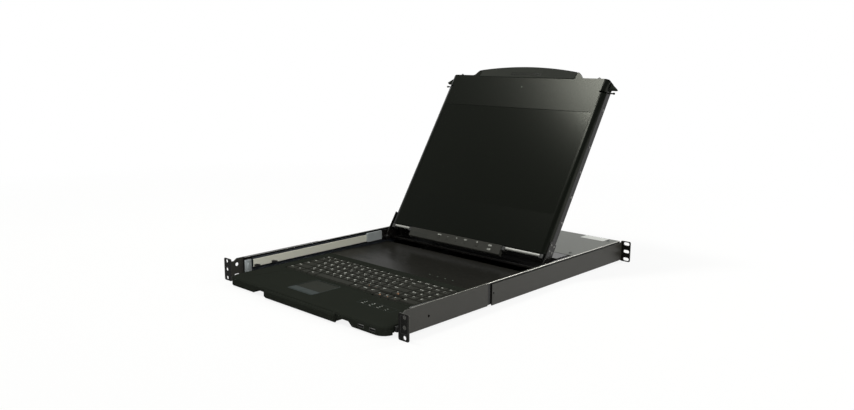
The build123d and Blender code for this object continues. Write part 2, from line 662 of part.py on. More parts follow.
def key_places(row):
    """Left edge, width, front edge and depth of each key in a row, counted from the front; no space bar."""
    units = {
        0: [1.25, 1, 1, 1.25, -5, 1.25, 1, 1.25, 1, 1, 1, 2, 1],
        1: [2.25] + [1] * 10 + [1.75, 1, 1, 1, 1, 1],
        2: [1.75] + [1] * 11 + [2.25, 1, 1, 1, 1],
        3: [1.5] + [1] * 12 + [1.5, 1, 1, 1, 1],
        4: [1] * 13 + [2, 1, 1, 1, 1],
        5: [1] * 19,
    }[row]
    keys = []
    x = KEYS_LEFT
    y = KEYS_FRONT + row * ROW_PITCH
    for n, unit in enumerate(units):
        width = abs(unit) * KEY_PITCH
        arrow = row == 0 and 8 <= n <= 10
        if unit > 0:
            keys.append((x, width, y - ARROW_SHIFT * arrow, row_depth(row)))
        x += width
    return keys


def key_centre(key):
    x, width, y, depth = key
    return x + width / 2, y + depth / 2


def key_cap(x, width, y, depth):
    """A cap that narrows to its top."""
    low = Pos(x + width / 2, y + depth / 2, KEY_TOP - KEY_HEIGHT) * Rectangle(width - KEY_GAP, depth - KEY_GAP)
    inset = KEY_GAP + 2 * KEY_TAPER
    high = Pos(x + width / 2, y + depth / 2 + 0.4, KEY_TOP) * Rectangle(width - inset, depth - inset)
    return loft([low, high])


def key_stem(x, y):
    low = KEY_TOP - KEY_HEIGHT - STEM_DROP
    return block(x - STEM / 2, x + STEM / 2, y - STEM / 2, y + STEM / 2, low, KEY_TOP - KEY_HEIGHT)


def key_row(row):
    return [key_cap(*key) + key_stem(*key_centre(key)) for key in key_places(row)]


def space_place():
    return KEYS_LEFT + 4.5 * KEY_PITCH, 5 * KEY_PITCH


def space_stems():
    x, width = space_place()
    y = KEYS_FRONT + ROW_PITCH / 2
    return [(x + width * share, y) for share in (0.2, 0.5, 0.8)]


def space_bar():
    x, width = space_place()
    bar = key_cap(x, width, KEYS_FRONT, ROW_PITCH)
    for stem_x, stem_y in space_stems():
        bar += key_stem(stem_x, stem_y)
    return bar


def touchpad():
    outline = Pos((PAD_LEFT + PAD_RIGHT) / 2, (PAD_FRONT + PAD_REAR) / 2)
    outline *= RectangleRounded(PAD_RIGHT - PAD_LEFT, PAD_REAR - PAD_FRONT, 1.5)
    return along_z(outline, DECK_TOP - PAD_DEPTH, DECK_TOP - PAD_DEPTH + PAD_SKIN)


def touchpad_button(side):
    """One of the two click buttons in front of the touchpad."""
    middle = (PAD_LEFT + PAD_RIGHT) / 2
    x0, x1 = (PAD_LEFT, middle - BUTTON_GAP / 2) if side < 0 else (middle + BUTTON_GAP / 2, PAD_RIGHT)
    y1 = PAD_FRONT - 2 * BUTTON_GAP
    low = DECK_TOP - PAD_DEPTH
    outline = polygon((BUTTON_FRONT, low), (y1, low), (y1, DECK_TOP - 0.5), (BUTTON_FRONT + 2, DECK_TOP - 0.1),
                      (BUTTON_FRONT, DECK_TOP - 0.8))
    return along_x(outline, x0, x1)


def usb_ports():
    """Two socket shells in the drawer's front, each with its contact tongue."""
    ports = []
    z = USB_Z
    wall = 0.3
    for n in range(2):
        x = USB_FIRST + n * USB_PITCH
        w, h = USB_WIDTH / 2, USB_HEIGHT / 2
        y0, y1 = TRAY_FRONT + 0.2, TRAY_FRONT + USB_DEPTH
        shell = block(x - w, x + w, y0, y1, z - h, z + h)
        shell -= block(x - w + wall, x + w - wall, y0 - 1, y1 - 2, z - h + wall, z + h - wall)
        tongue = block(x - w + 1.2, x + w - 1.2, y0 + 1.5, y1 - 2, z + 0.2, z + 1.7)
        ports.append(shell + tongue)
    return ports


def release_lever():
    """The right-hand catch at the drawer's front corner: a ribbed finger tab on a flat tongue."""
    low = TRAY_BOTTOM + 0.6
    high = DECK_TOP - 2.0
    y0, y1 = LEVER_FRONT, LEVER_REAR
    inner, tip = DECK_HALF - LEVER_IN, DECK_HALF + LEVER_OUT
    outline = polygon((inner, y0), (tip - 1.5, y0), (tip, y0 + 4), (tip - 2, y0 + 8), (tip - 2, y1), (inner, y1))
    lever = along_z(outline, low, high)
    for n in range(3):
        z = low + 2.4 + n * 2.6
        lever -= block(tip - 2.8, tip + 1, y0 - 1, y0 + 9, z, z + 0.9)
    return lever


def display_outline():
    """The bezel's outline in X and S: square below, with a shouldered and arched handle on top."""
    w, length = DISPLAY_HALF, DISPLAY_LENGTH
    h = HANDLE_HALF + 1.5
    run = h + SHOULDER_RUN - 1.5
    middle = (h + run) / 2
    rise = (length + HANDLE_SHOULDER) / 2
    right = [
        Line((0, 0), (w, 0)), Line((w, 0), (w, length - 4)),
        RadiusArc((w, length - 4), (w - 4, length), -4.0),
        Line((w - 4, length), (run, length)),
        Spline((run, length), (middle, rise), (h, HANDLE_SHOULDER), tangents=((-1, 0), (-1, 0))),
        Line((h, HANDLE_SHOULDER), (h - 1.5, HANDLE_LOW)), Line((h - 1.5, HANDLE_LOW), (0, HANDLE_LOW)),
    ]
    edges = right + [mirror(e, about=Plane.YZ) for e in right]
    return make_face(edges)


def bevel_cutter():
    """Takes the long side of the bezel down in a soft curve."""
    w = DISPLAY_HALF
    start = w - BEVEL_WIDTH
    arc = ThreePointArc((start, 0), (w - BEVEL_WIDTH * 0.33, -BEVEL_DEPTH * 0.36), (w, -BEVEL_DEPTH))
    rim = [arc, Line((w, -BEVEL_DEPTH), (w + 1, -BEVEL_DEPTH)), Line((w + 1, -BEVEL_DEPTH), (w + 1, 1)),
           Line((w + 1, 1), (start, 1)), Line((start, 1), (start, 0))]
    return along_y(make_face(rim), -1, DISPLAY_LENGTH + 1)


def screen_sketch(grow):
    """The visible screen's rectangle in X and S, grown by a margin."""
    y = LOW_BORDER + SCREEN_HEIGHT / 2
    return Pos(0, y) * Rectangle(SCREEN_WIDTH + 2 * grow, SCREEN_HEIGHT + 2 * grow)


def display_bezel():
    """Moulded front with curved long sides, the screen opening and the shoulders of the handle."""
    bezel = along_z(display_outline(), -BEZEL_THICK, 0)
    cutter = bevel_cutter()
    bezel -= cutter
    bezel -= mirror(cutter, about=Plane.YZ)
    bezel -= along_z(screen_sketch(SCREEN_GAP), -BEZEL_THICK - 1, 1)
    for side in (-1, 1):
        x = side * (DISPLAY_HALF - BEVEL_WIDTH / 2)
        bezel -= block(x - 7, x + 7, LATCH_PIN_S - 4, LATCH_PIN_S - 1, -BEVEL_DEPTH - 0.8, 1)
    return on_display(bezel)


def display_shell():
    """Folded metal back of the display, with a raised field and slots for air."""
    w, length = DISPLAY_HALF, DISPLAY_LENGTH
    outline = RectangleRounded(2 * w, length, 4.0)
    shell = Pos(0, length / 2, -DISPLAY_THICK) * extrude(outline, amount=DISPLAY_THICK - BEZEL_THICK)
    rim = [e for e in shell.edges() if e.center().Z < -DISPLAY_THICK + 0.01]
    shell = fillet(rim, 2.0)
    inner = Pos(0, length / 2, -DISPLAY_THICK + SHEET) * Box(
        2 * (w - SHEET), length - 2 * SHEET, DISPLAY_THICK, align=(Align.CENTER, Align.CENTER, Align.MIN))
    shell -= inner
    for n in range(11):
        x = (n - 5) * 14.0
        shell -= block(x - 2, x + 2, 40, 66, -DISPLAY_THICK - 1, -DISPLAY_THICK + 2 * SHEET)
    return on_display(shell)


def lcd_panel():
    """The matt screen itself, a shade below the bezel."""
    return on_display(along_z(screen_sketch(0), -SCREEN_SINK - PANEL_THICK, -SCREEN_SINK))


def lcd_module():
    """The panel's metal-backed module inside the shell, with its driver board."""
    high = -BEZEL_THICK - 0.2
    low = high - MODULE_THICK
    floor = SHEET - DISPLAY_THICK
    half = SCREEN_WIDTH / 2
    module = along_z(screen_sketch(MODULE_RIM), low, high)
    module += along_z(screen_sketch(-1), high, -SCREEN_SINK - PANEL_THICK)
    module += block(-half / 3, half / 3, LOW_BORDER + 20, LOW_BORDER + 100, (low + floor) / 2, low)
    module += block(-half + 18, half - 18, LOW_BORDER + 150, LOW_BORDER + 158, floor, low)
    return on_display(module)


def display_handle():
    """Arched grip let into the top of the display, with two rows of small dimples."""
    half, low = HANDLE_HALF - 0.3, HANDLE_LOW + 0.3
    side = HANDLE_SHOULDER - 0.4
    edges = [Line((-half, low), (half, low)), Line((half, low), (half + 1, side)),
             ThreePointArc((half + 1, side), (0, HANDLE_CREST), (-half - 1, side)), Line((-half - 1, side), (-half, low))]
    front = along_z(make_face(edges), -BEZEL_THICK, 0.6)
    lip = [e for e in front.edges() if e.center().Z > 0.59]
    front = chamfer(lip, 1.0)
    back = DISPLAY_LENGTH + COVER_GAP
    rear = [Line((-half, back), (half, back)), Line((half, back), (half, side)),
            ThreePointArc((half, side), (0, HANDLE_CREST - 2), (-half, side)), Line((-half, side), (-half, back))]
    grip = front + along_z(make_face(rear), -HANDLE_THICK, -BEZEL_THICK)
    for row in range(2):
        for n in range(12):
            x = (n - 5.5) * 6.6
            s = DISPLAY_LENGTH + 2.5 + row * 4.0
            grip -= block(x - 1.8, x + 1.8, s, s + 2.2, 0.1, 1)
    return on_display(grip)


def latch_hooks():
    """Side hooks that catch the brackets when the display is shut and stowed, each with its guide pin."""
    w = DISPLAY_HALF
    outline = polygon((w, HOOK_HIGH), (HOOK_TIP, HOOK_LOW + 2), (HOOK_TIP - 1, HOOK_LOW), (w + 3, HOOK_LOW), (w, HOOK_LOW - 5))
    hook = along_z(outline, -BEZEL_THICK - 8.0, -BEZEL_THICK - 1.5)
    level = -BEZEL_THICK - 3.5
    pin = rod_x(1.3, w, LATCH_PIN_TIP, LATCH_PIN_S, level)
    head = rod_x(2.0, LATCH_PIN_TIP - 3, LATCH_PIN_TIP, LATCH_PIN_S, level)
    return [on_display(s) for s in both_sides(hook) + both_sides(pin + head)]


def hinge_arms():
    """Arms screwed to the display's sides that run down to the hinge pins."""
    low, back = -FACE_OFFSET, -DISPLAY_THICK + 1
    s = -EDGE_RISE
    r = KNUCKLE_RADIUS
    foot = s - 0.6 * r
    plate = polygon((26, -1.5), (26, back), (0, back), (foot, low - 0.8 * r), (foot, low + 0.8 * r), (0, -1.5))
    arm = along_x(plate, DISPLAY_HALF, ARM_FACE)
    arm += rod_x(r, DISPLAY_HALF - 4, ARM_FACE, s, low)
    arm -= rod_x(PIN_RADIUS + PIN_FIT, DISPLAY_HALF - 6, ARM_FACE + 1, s, low)
    return [on_display(s) for s in both_sides(arm)]


def display_screws():
    """Screws down the display's sides, and the four that hold each hinge arm."""
    head = 0.7
    screws = []
    level = -(BEZEL_THICK + DISPLAY_THICK) / 2
    heights = [LOW_SCREW_RISE + n * SIDE_SCREW_PITCH for n in range(LOWER_SCREWS)]
    for s in (*heights, DISPLAY_LENGTH - TOP_SCREW_DROP):
        screws += both_sides(rod_x(2.2, DISPLAY_HALF, DISPLAY_HALF + head, s, level))
    for s in (8, 20):
        for n in (-5.5, -14.5):
            screws += both_sides(rod_x(2.0, ARM_FACE, ARM_FACE + head, s, n))
    return [on_display(s) for s in screws]


def hinge_bars():
    """Bright bars under the display, each held by a dark end block."""
    s, n, r = -BAR_RADIUS - 0.3, -BAR_RADIUS - 1.8, BAR_RADIUS
    right = rod_x(r, STRIP_RIGHT + BLOCK_WIDTH, BAR_END, s, n)
    left = rod_x(r, -BAR_END, STRIP_LEFT - BLOCK_WIDTH, s, n)
    return [on_display(bar) for bar in (right, left)]


def bar_blocks():
    """Moulded blocks that hang the bars and the control strip under the display."""
    s0, n0 = -2 * BAR_RADIUS - 3.5, -2 * BAR_RADIUS - 5.1
    last = BAR_END + BLOCK_WIDTH
    spans = [(STRIP_RIGHT + COVER_GAP, STRIP_RIGHT + BLOCK_WIDTH), (STRIP_LEFT - BLOCK_WIDTH, STRIP_LEFT - COVER_GAP),
             (BAR_END, last), (-last, -BAR_END)]
    outline = fillet(polygon((s0, n0), (-0.2, n0), (-0.2, -1.2), (s0, -1.2)).vertices(), 1.5)
    return [on_display(along_x(outline, x0, x1)) for x0, x1 in spans]


def press_places():
    """Centre and radius of each round button on the strip, the power button last."""
    first = STRIP_LEFT + OSD_INSET
    places = [(first + n * OSD_PITCH, OSD_RADIUS) for n in range(OSD_BUTTONS)]
    return places + [(STRIP_RIGHT - POWER_INSET, POWER_RADIUS)]


def button_height():
    return -STRIP_DROP / 2 - 0.5


def control_strip():
    """Housing of the display's controls, with a pocket for each button."""
    outline = polygon((-STRIP_DROP, -STRIP_THICK), (-0.3, -STRIP_THICK), (-0.3, -0.8), (-1.4, 0), (-STRIP_DROP + 1.6, 0),
                      (-STRIP_DROP, -1.6))
    strip = along_x(outline, STRIP_LEFT, STRIP_RIGHT)
    for x, radius in press_places():
        depth = 2.0 + PRESS_TRAVEL + PRESS_FIT
        strip -= Pos(x, button_height(), -depth / 2 + 0.5) * Cylinder(radius + PRESS_FIT, depth + 1)
    return on_display(strip)


def press_button(x, radius):
    """A round button with a stepped crown, standing a little proud of the strip."""
    low = -2.0
    button = Pos(x, button_height(), low / 2 + 0.2) * Cylinder(radius, 0.4 - low)
    crown = [e for e in button.edges() if e.center().Z > 0.39]
    return on_display(chamfer(crown, 0.3))


def bumpers():
    """Rubber bumpers on the display's top edge."""
    top = DISPLAY_LENGTH
    outer = DISPLAY_HALF - BUMPER_INSET
    wedge = polygon((outer - 8, top), (outer, top), (outer, top + 2.4), (outer - 2, top + 4), (outer - 3.5, top + 3.4))
    return [on_display(s) for s in both_sides(along_z(wedge, -6.5, -2.0))]


def hinge_plates():
    """Side plates of the display carriage, on the inner slides, each with its shouldered hinge pin."""
    z0, z1 = slide_rises(LCD_SLIDE_HEIGHT, LCD_SLIDE_RISE)
    low = z0 + 1.6
    high = z1 + 0.6
    outline = polygon(
        (PLATE_FRONT, low), (BRIDGE_REAR, low), (BRIDGE_REAR, TOP - 2 * SHEET), (BRIDGE_STEP, TOP - 2 * SHEET),
        (BRIDGE_STEP - 12, high), (PLATE_FRONT, high))
    corners = [v for v in outline.vertices() if v.X < PLATE_FRONT + 1]
    plate = along_x(fillet(corners, 2.0), PLATE_IN, INNER_FACE)
    plate += rod_x(PIN_RADIUS, DISPLAY_HALF - 5, PLATE_IN, HINGE_Y, HINGE_Z)
    plate += rod_x(KNUCKLE_RADIUS - 0.4, ARM_FACE + 0.3, PLATE_IN, HINGE_Y, HINGE_Z)
    return both_sides(plate)


def carriage_bridge():
    """Folded sheet between the carriage plates: a low shelf, a riser and a flat top."""
    z0 = DECK_TOP + BRIDGE_LIFT
    t = SHEET
    outline = polygon(
        (BRIDGE_FRONT, z0), (BRIDGE_STEP + t, z0), (BRIDGE_STEP + t, TOP - t), (BRIDGE_REAR - t, TOP - t),
        (BRIDGE_REAR - t, TOP - 8), (BRIDGE_REAR, TOP - 8), (BRIDGE_REAR, TOP), (BRIDGE_STEP, TOP),
        (BRIDGE_STEP, z0 + t), (BRIDGE_FRONT + t, z0 + t), (BRIDGE_FRONT + t, z0 + 4), (BRIDGE_FRONT, z0 + 4))
    return along_x(outline, -PLATE_IN, PLATE_IN)


def slide_stops():
    """Black plastic stops on the display slides' lower edges."""
    z0, z1 = slide_rises(LCD_SLIDE_HEIGHT, LCD_SLIDE_RISE)
    low = z0 + 2 * SLIDE_NEST
    stops = []
    for y in (SLIDE_FRONT + STOP_INSET, SLIDE_FRONT + STOP_INSET + STOP_APART):
        outline = polygon((y, low), (y + STOP_LENGTH, low), (y + STOP_LENGTH, low + 3), (y + 4, low + 5), (y, low + 5))
        stops += both_sides(along_x(outline, INNER_FACE - STOP_REACH, INNER_FACE))
    return stops


def power_inlet():
    """Three-pin mains inlet with its flange on the rear panel."""
    y0, y1 = CHASSIS_REAR - INLET_DEPTH - 2, CHASSIS_REAR
    w, h = INLET_WIDTH / 2 - 0.2, INLET_HEIGHT / 2 - 0.2
    x, z = INLET_X, SOCKET_Z
    body = block(x - w, x + w, y0, y1, z - h, z + h)
    flange = along_y(Pos(x, z) * RectangleRounded(2 * w + 8, 2 * h + 4, 2), y1, y1 + 1.5)
    mouth = polygon((x - 11.5, z - 7.5), (x + 11.5, z - 7.5), (x + 11.5, z + 3.5), (x + 7.5, z + 7.5),
                    (x - 7.5, z + 7.5), (x - 11.5, z + 3.5))
    inlet = body + flange - along_y(mouth, y0 + 2, y1 + 3)
    for dx, dz in ((-7, -2), (0, 2), (7, -2)):
        inlet += block(x + dx - 1, x + dx + 1, y0 + 1, y1 - 4, z + dz - 2, z + dz + 2)
    return inlet


def rocker_frame():
    """Frame that holds the mains rocker."""
    w, h = ROCKER_WIDTH / 2 - 0.2, ROCKER_HEIGHT / 2 - 0.2
    x, z = ROCKER_X, SOCKET_Z
    frame = block(x - w, x + w, CHASSIS_REAR - 14, CHASSIS_REAR, z - h, z + h)
    frame += along_y(Pos(x, z) * RectangleRounded(2 * w + 3, 2 * h + 3, 1.5), CHASSIS_REAR, CHASSIS_REAR + 1.5)
    return frame - block(x - w + 1.3, x + w - 1.3, CHASSIS_REAR - 11, CHASSIS_REAR + 3, z - h + 1.3, z + h - 1.3)


def power_rocker():
    """Mains rocker, resting tilted to OFF on its pivot."""
    half = ROCKER_HEIGHT / 2 - 2.1
    w = ROCKER_WIDTH / 2 - 1.9
    face = [Line((-half, 0), (-half, 1.6)), ThreePointArc((-half, 1.6), (0, 0.6), (half, 1.6)), Line((half, 1.6), (half, 0)),
            Line((half, 0), (3, -5)), Line((3, -5), (-3, -5)), Line((-3, -5), (-half, 0))]
    rocker = extrude(Plane.YZ.offset(-w) * (make_face(face)), amount=2 * w)
    turned = Rot(-90, 0, 0) * rocker
    return Pos(ROCKER_X, CHASSIS_REAR + 0.2, SOCKET_Z) * Rot(ROCKER_TILT, 0, 0) * turned


def console_ports():
    """Video socket, square data socket and three network jacks behind the rear panel."""
    y1 = CHASSIS_REAR + 0.6
    z = SOCKET_Z
    video = fillet(polygon((-8.4, z + 4), (8.4, z + 4), (7.2, z - 4), (-7.2, z - 4)).vertices(), 1.2)
    ports = [Pos(VIDEO_X, 0, 0) * (along_y(video, CHASSIS_REAR - 10, CHASSIS_REAR + 5)
                                   + along_y(Pos(0, z) * RectangleRounded(31, 12.4, 1), CHASSIS_REAR, y1))]
    square = DATA_X
    data = block(square - 6, square + 6, CHASSIS_REAR - 16, y1, z - 5.4, z + 5.4)
    data -= block(square - 4.4, square + 4.4, CHASSIS_REAR - 12, y1 + 1, z - 3.9, z + 3.9)
    ports.append(data + block(square - 3, square + 3, CHASSIS_REAR - 13, CHASSIS_REAR - 5, z - 1.6, z + 1.6))
    for n in range(3):
        x = LAN_X + n * LAN_PITCH
        jack = block(x - 7.8, x + 7.8, CHASSIS_REAR - 15, y1, z - 6.8, z + 6.8)
        jack -= block(x - 5.9, x + 5.9, CHASSIS_REAR - 13, y1 + 1, z - 5.2, z + 3.0)
        jack -= block(x - 3.2, x + 3.2, CHASSIS_REAR - 13, y1 + 1, z + 2.0, z + 5.0)
        ports.append(jack)
    return ports


def power_supply():
    """Caged power supply in the rear bay, on its feet."""
    x0, x1, y0, y1 = SUPPLY_LEFT, SUPPLY_LEFT + SUPPLY_WIDTH, BAY_FRONT, BAY_REAR
    z0, z1 = PAN_TOP + SUPPLY_FEET, TOP - 5.0
    cage = block(x0, x1, y0, y1, z0, z1)
    for n in range(8):
        y = y0 + 12 + n * 14
        cage -= block(x0 + 12, x1 - 12, y, y + 5, z1 - 2, z1 + 1)
    for x in (x0 + 8, x1 - 8):
        for y in (y0 + 8, y1 - 8):
            cage += Pos(x, y, (PAN_TOP + z0) / 2) * Cylinder(3.5, z0 - PAN_TOP)
    return cage


def main_board():
    """Switch board in the rear bay, with chips, headers and its spacers."""
    z = PAN_TOP + BOARD_RISE
    top = z + BOARD_THICK
    x0, x1, y0, y1 = BOARD_LEFT, BOARD_LEFT + BOARD_WIDTH, BAY_FRONT + 5, BAY_REAR + 6
    board = block(x0, x1, y0, y1, z, top)
    for share, size in ((0.2, 22), (0.45, 30), (0.72, 18)):
        x, y = x0 + share * BOARD_WIDTH, y0 + 0.3 * (y1 - y0)
        board += block(x - size / 2, x + size / 2, y - size / 2, y + size / 2, top, top + BOARD_THICK)
    for share in (0.1, 0.5, 0.85):
        x = x0 + share * BOARD_WIDTH
        board += block(x - 16, x + 16, y0 + 3, y0 + 9, top, top + 8.4)
    for x in (x0 + 7, x1 - 7):
        for y in (y0 + 7, y1 - 7):
            board += Pos(x, y, (PAN_TOP + z) / 2) * Cylinder(3.0, z - PAN_TOP)
    return board


def build():
    os.makedirs("parts", exist_ok=True)
    save(chassis_tray(), "chassis_tray")
    save(rear_cover(), "rear_cover")
    save(cover_screws(), "cover_screws")
    save(rear_panel(), "rear_panel")
    front_right, front_left = front_brackets()
    save(front_right, "front_bracket_right")
    save(front_left, "front_bracket_left")
    save(rear_bracket(), "rear_bracket_right")
    save(mirror(rear_bracket(), about=Plane.YZ), "rear_bracket_left")
    save(bracket_studs(), "bracket_studs")
    save(slide_end_brackets(), "slide_end_brackets")
    slides = (("lcd", LCD_SLIDE_HEIGHT, LCD_SLIDE_RISE), ("keyboard", KEYBOARD_SLIDE_HEIGHT, KEYBOARD_SLIDE_RISE))
    for name, height, rise in slides:
        for level, member in enumerate(("outer", "middle", "inner")):
            save(both_sides(slide_member(level, height, rise)), f"{name}_slide_{member}")
    save(slide_stops(), "slide_stops")
    save(keyboard_tray(), "keyboard_tray")
    save(keyboard_board(), "keyboard_board")
    save(keyboard_deck(), "keyboard_deck")
    save(rear_deck(), "rear_deck")
    save(key_plate(), "key_plate")
    for row in range(6):
        save(key_row(row), f"key_row_{row + 1}")
    save(space_bar(), "space_bar")
    save(touchpad(), "touchpad")
    save(touchpad_button(-1), "touchpad_button_left")
    save(touchpad_button(1), "touchpad_button_right")
    save(usb_ports(), "usb_ports")
    save(release_lever(), "release_lever_right")
    save(mirror(release_lever(), about=Plane.YZ), "release_lever_left")
    save(display_bezel(), "display_bezel")
    save(display_shell(), "display_shell")
    save(lcd_panel(), "lcd_panel")
    save(lcd_module(), "lcd_module")
    save(display_handle(), "display_handle")
    save(latch_hooks(), "latch_hooks")
    save(hinge_arms(), "hinge_arms")
    save(display_screws(), "display_screws")
    save(hinge_bars(), "hinge_bars")
    save(bar_blocks(), "bar_blocks")
    save(control_strip(), "control_strip")
    for n, (x, radius) in enumerate(press_places()):
        save(press_button(x, radius), f"osd_button_{n + 1}" if n < OSD_BUTTONS else "power_button")
    save(bumpers(), "bumpers")
    save(hinge_plates(), "hinge_plates")
    save(carriage_bridge(), "carriage_bridge")
    save(power_inlet(), "power_inlet")
    save(rocker_frame(), "rocker_frame")
    save(power_rocker(), "power_rocker")
    save(console_ports(), "console_ports")
    save(power_supply(), "power_supply")
    save(main_board(), "main_board")


build()
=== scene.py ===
import json
import math
import bpy
from mathutils import Matrix, Vector


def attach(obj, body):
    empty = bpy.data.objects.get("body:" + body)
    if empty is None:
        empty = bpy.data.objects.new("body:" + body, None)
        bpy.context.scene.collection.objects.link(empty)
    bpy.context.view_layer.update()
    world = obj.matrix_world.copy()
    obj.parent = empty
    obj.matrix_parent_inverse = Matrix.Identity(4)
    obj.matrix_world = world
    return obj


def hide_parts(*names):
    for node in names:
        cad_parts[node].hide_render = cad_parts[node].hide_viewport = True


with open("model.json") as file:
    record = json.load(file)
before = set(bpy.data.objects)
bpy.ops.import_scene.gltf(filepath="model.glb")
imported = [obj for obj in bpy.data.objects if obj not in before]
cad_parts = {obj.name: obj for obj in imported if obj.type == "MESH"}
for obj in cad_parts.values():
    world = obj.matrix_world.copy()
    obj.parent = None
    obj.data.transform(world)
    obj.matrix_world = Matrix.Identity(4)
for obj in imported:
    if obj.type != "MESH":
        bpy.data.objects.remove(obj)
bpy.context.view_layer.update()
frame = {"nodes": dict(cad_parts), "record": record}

scene = bpy.context.scene
scene.view_settings.view_transform = "Standard"


# Camera: the photograph's viewpoint, to the right of the drawer and a little above it.
# Its place and turn were fitted to the rack ears and their holes.
camera_place = (1.0217, -0.7909, 0.39585)
turn, rise, roll = math.radians(43.278), math.radians(10.759), math.radians(0.232)
back = Vector((math.sin(turn) * math.cos(rise), -math.cos(turn) * math.cos(rise), math.sin(rise)))
level = Vector((math.cos(turn), math.sin(turn), 0))
across = level * math.cos(roll) + back.cross(level) * math.sin(roll)
camera = bpy.data.objects.new("camera", bpy.data.cameras.new("camera"))
camera.data.lens = 33.675
camera.data.sensor_width = 36
camera.data.clip_start = 0.05
facing = Matrix((across, back.cross(across), back)).transposed().to_4x4()
camera.matrix_world = Matrix.Translation(camera_place) @ facing
scene.collection.objects.link(camera)
scene.camera = camera


# Studio: a white floor that curves up into a low wall all round, under a plain dim sky.
# One lamp high on the left puts the soft glow on the screen's upper right; a wide one by the camera
# fills the side walls, and a long one behind lights the right rim, whose bright line is also a painted
# highlight on the tray.
def lamp(name, place, aim, width, depth, brightness, colour=(1, 1, 1)):
    """A soft box; its brightness is that of its face, so its power follows from its size."""
    light = bpy.data.lights.new(name, "AREA")
    light.shape = "RECTANGLE"
    light.size, light.size_y = width, depth
    light.energy = brightness * width * depth
    light.color = colour
    holder = bpy.data.objects.new(name, light)
    holder.location = place
    holder.rotation_euler = (Vector(aim) - Vector(place)).to_track_quat("-Z", "Y").to_euler()
    scene.collection.objects.link(holder)


lamp("key_lamp", (-0.84, -0.28, 2.08), (0.1, 0.5, 0.2),
     width=0.42, depth=0.42, brightness=150, colour=(1.0, 0.99, 0.94))
lamp("side_lamp", (2.2, -0.1, 1.2), (0.2, 0.3, 0.0),
     width=1.5, depth=1.5, brightness=7.0, colour=(1.0, 0.98, 0.94))
lamp("rim_lamp", (0.92, 2.1, 1.5), (0.22, 0.25, 0.02),
     width=0.12, depth=1.5, brightness=110)

sky = bpy.data.worlds.new("studio_sky")
scene.world = sky
sky.use_nodes = True
sky.node_tree.nodes["Background"].inputs["Color"].default_value = (0.97, 1.0, 0.93, 1)
sky.node_tree.nodes["Background"].inputs["Strength"].default_value = 0.45

floor_level, floor_reach = -0.02115, 4.5
bend_radius, bend_steps, wall_height = 1.0, 10, 1.4
bpy.ops.object.select_all(action="DESELECT")
bpy.ops.mesh.primitive_circle_add(
    vertices=96, radius=floor_reach, fill_type="NGON", location=(0, 0, floor_level))
sweep = bpy.context.object
sweep.name = "floor"
bpy.ops.object.mode_set(mode="EDIT")
bpy.ops.mesh.select_mode(type="EDGE")
bpy.ops.mesh.select_all(action="DESELECT")
bpy.ops.mesh.select_non_manifold()
reach, lift = floor_reach, 0.0
for step in range(1, bend_steps + 1):
    lean = math.radians(90 * step / bend_steps)
    wider, higher = floor_reach + bend_radius * math.sin(lean), bend_radius * (1 - math.cos(lean))
    bpy.ops.mesh.extrude_region_move(TRANSFORM_OT_translate={"value": (0, 0, higher - lift)})
    bpy.ops.transform.resize(value=(wider / reach, wider / reach, 1), center_override=(0, 0, 0))
    reach, lift = wider, higher
bpy.ops.mesh.extrude_region_move(TRANSFORM_OT_translate={"value": (0, 0, wall_height)})

# A copy of the floor rises with its border at each step, and it is taken off to leave the top open.
bpy.ops.mesh.delete(type="ONLY_FACE")
bpy.ops.object.mode_set(mode="OBJECT")
bpy.ops.object.shade_smooth_by_angle(angle=math.radians(30))

# The paper is plain white to the camera and in every gloss. Near the object a share of its own matt
# shade shows through and holds the shadow, and that share falls to nothing farther out.
shade_reach, white_reach, white_near = 0.7, 1.9, 0.86
paper = bpy.data.materials.new("white_paper")
paper.use_nodes = True
tree = paper.node_tree
tree.nodes.clear()
matt = tree.nodes.new("ShaderNodeBsdfDiffuse")
matt.inputs["Color"].default_value = (0.88, 0.88, 0.88, 1)
glow = tree.nodes.new("ShaderNodeEmission")
glow.inputs["Strength"].default_value = 1.0
path = tree.nodes.new("ShaderNodeLightPath")
seen = tree.nodes.new("ShaderNodeMath")
seen.operation = "ADD"
seen_or_clear = tree.nodes.new("ShaderNodeMath")
seen_or_clear.operation = "ADD"
seen_or_clear.use_clamp = True
share = tree.nodes.new("ShaderNodeMath")
share.operation = "MULTIPLY"
place = tree.nodes.new("ShaderNodeTexCoord")
apart = tree.nodes.new("ShaderNodeVectorMath")
apart.operation = "LENGTH"
rising = tree.nodes.new("ShaderNodeMapRange")
rising.inputs["From Min"].default_value = shade_reach
rising.inputs["From Max"].default_value = white_reach
rising.inputs["To Min"].default_value = white_near
rising.inputs["To Max"].default_value = 1.0
both = tree.nodes.new("ShaderNodeMixShader")
paper_out = tree.nodes.new("ShaderNodeOutputMaterial")
tree.links.new(path.outputs["Is Camera Ray"], seen.inputs[0])
tree.links.new(path.outputs["Is Glossy Ray"], seen.inputs[1])
tree.links.new(seen.outputs[0], seen_or_clear.inputs[0])
tree.links.new(path.outputs["Is Transmission Ray"], seen_or_clear.inputs[1])
tree.links.new(place.outputs["Object"], apart.inputs[0])
tree.links.new(apart.outputs["Value"], rising.inputs["Value"])
tree.links.new(rising.outputs["Result"], share.inputs[1])
tree.links.new(seen_or_clear.outputs[0], share.inputs[0])
tree.links.new(share.outputs[0], both.inputs[0])
tree.links.new(matt.outputs[0], both.inputs[1])
tree.links.new(glow.outputs[0], both.inputs[2])
tree.links.new(both.outputs[0], paper_out.inputs[0])
sweep.data.materials.append(paper)
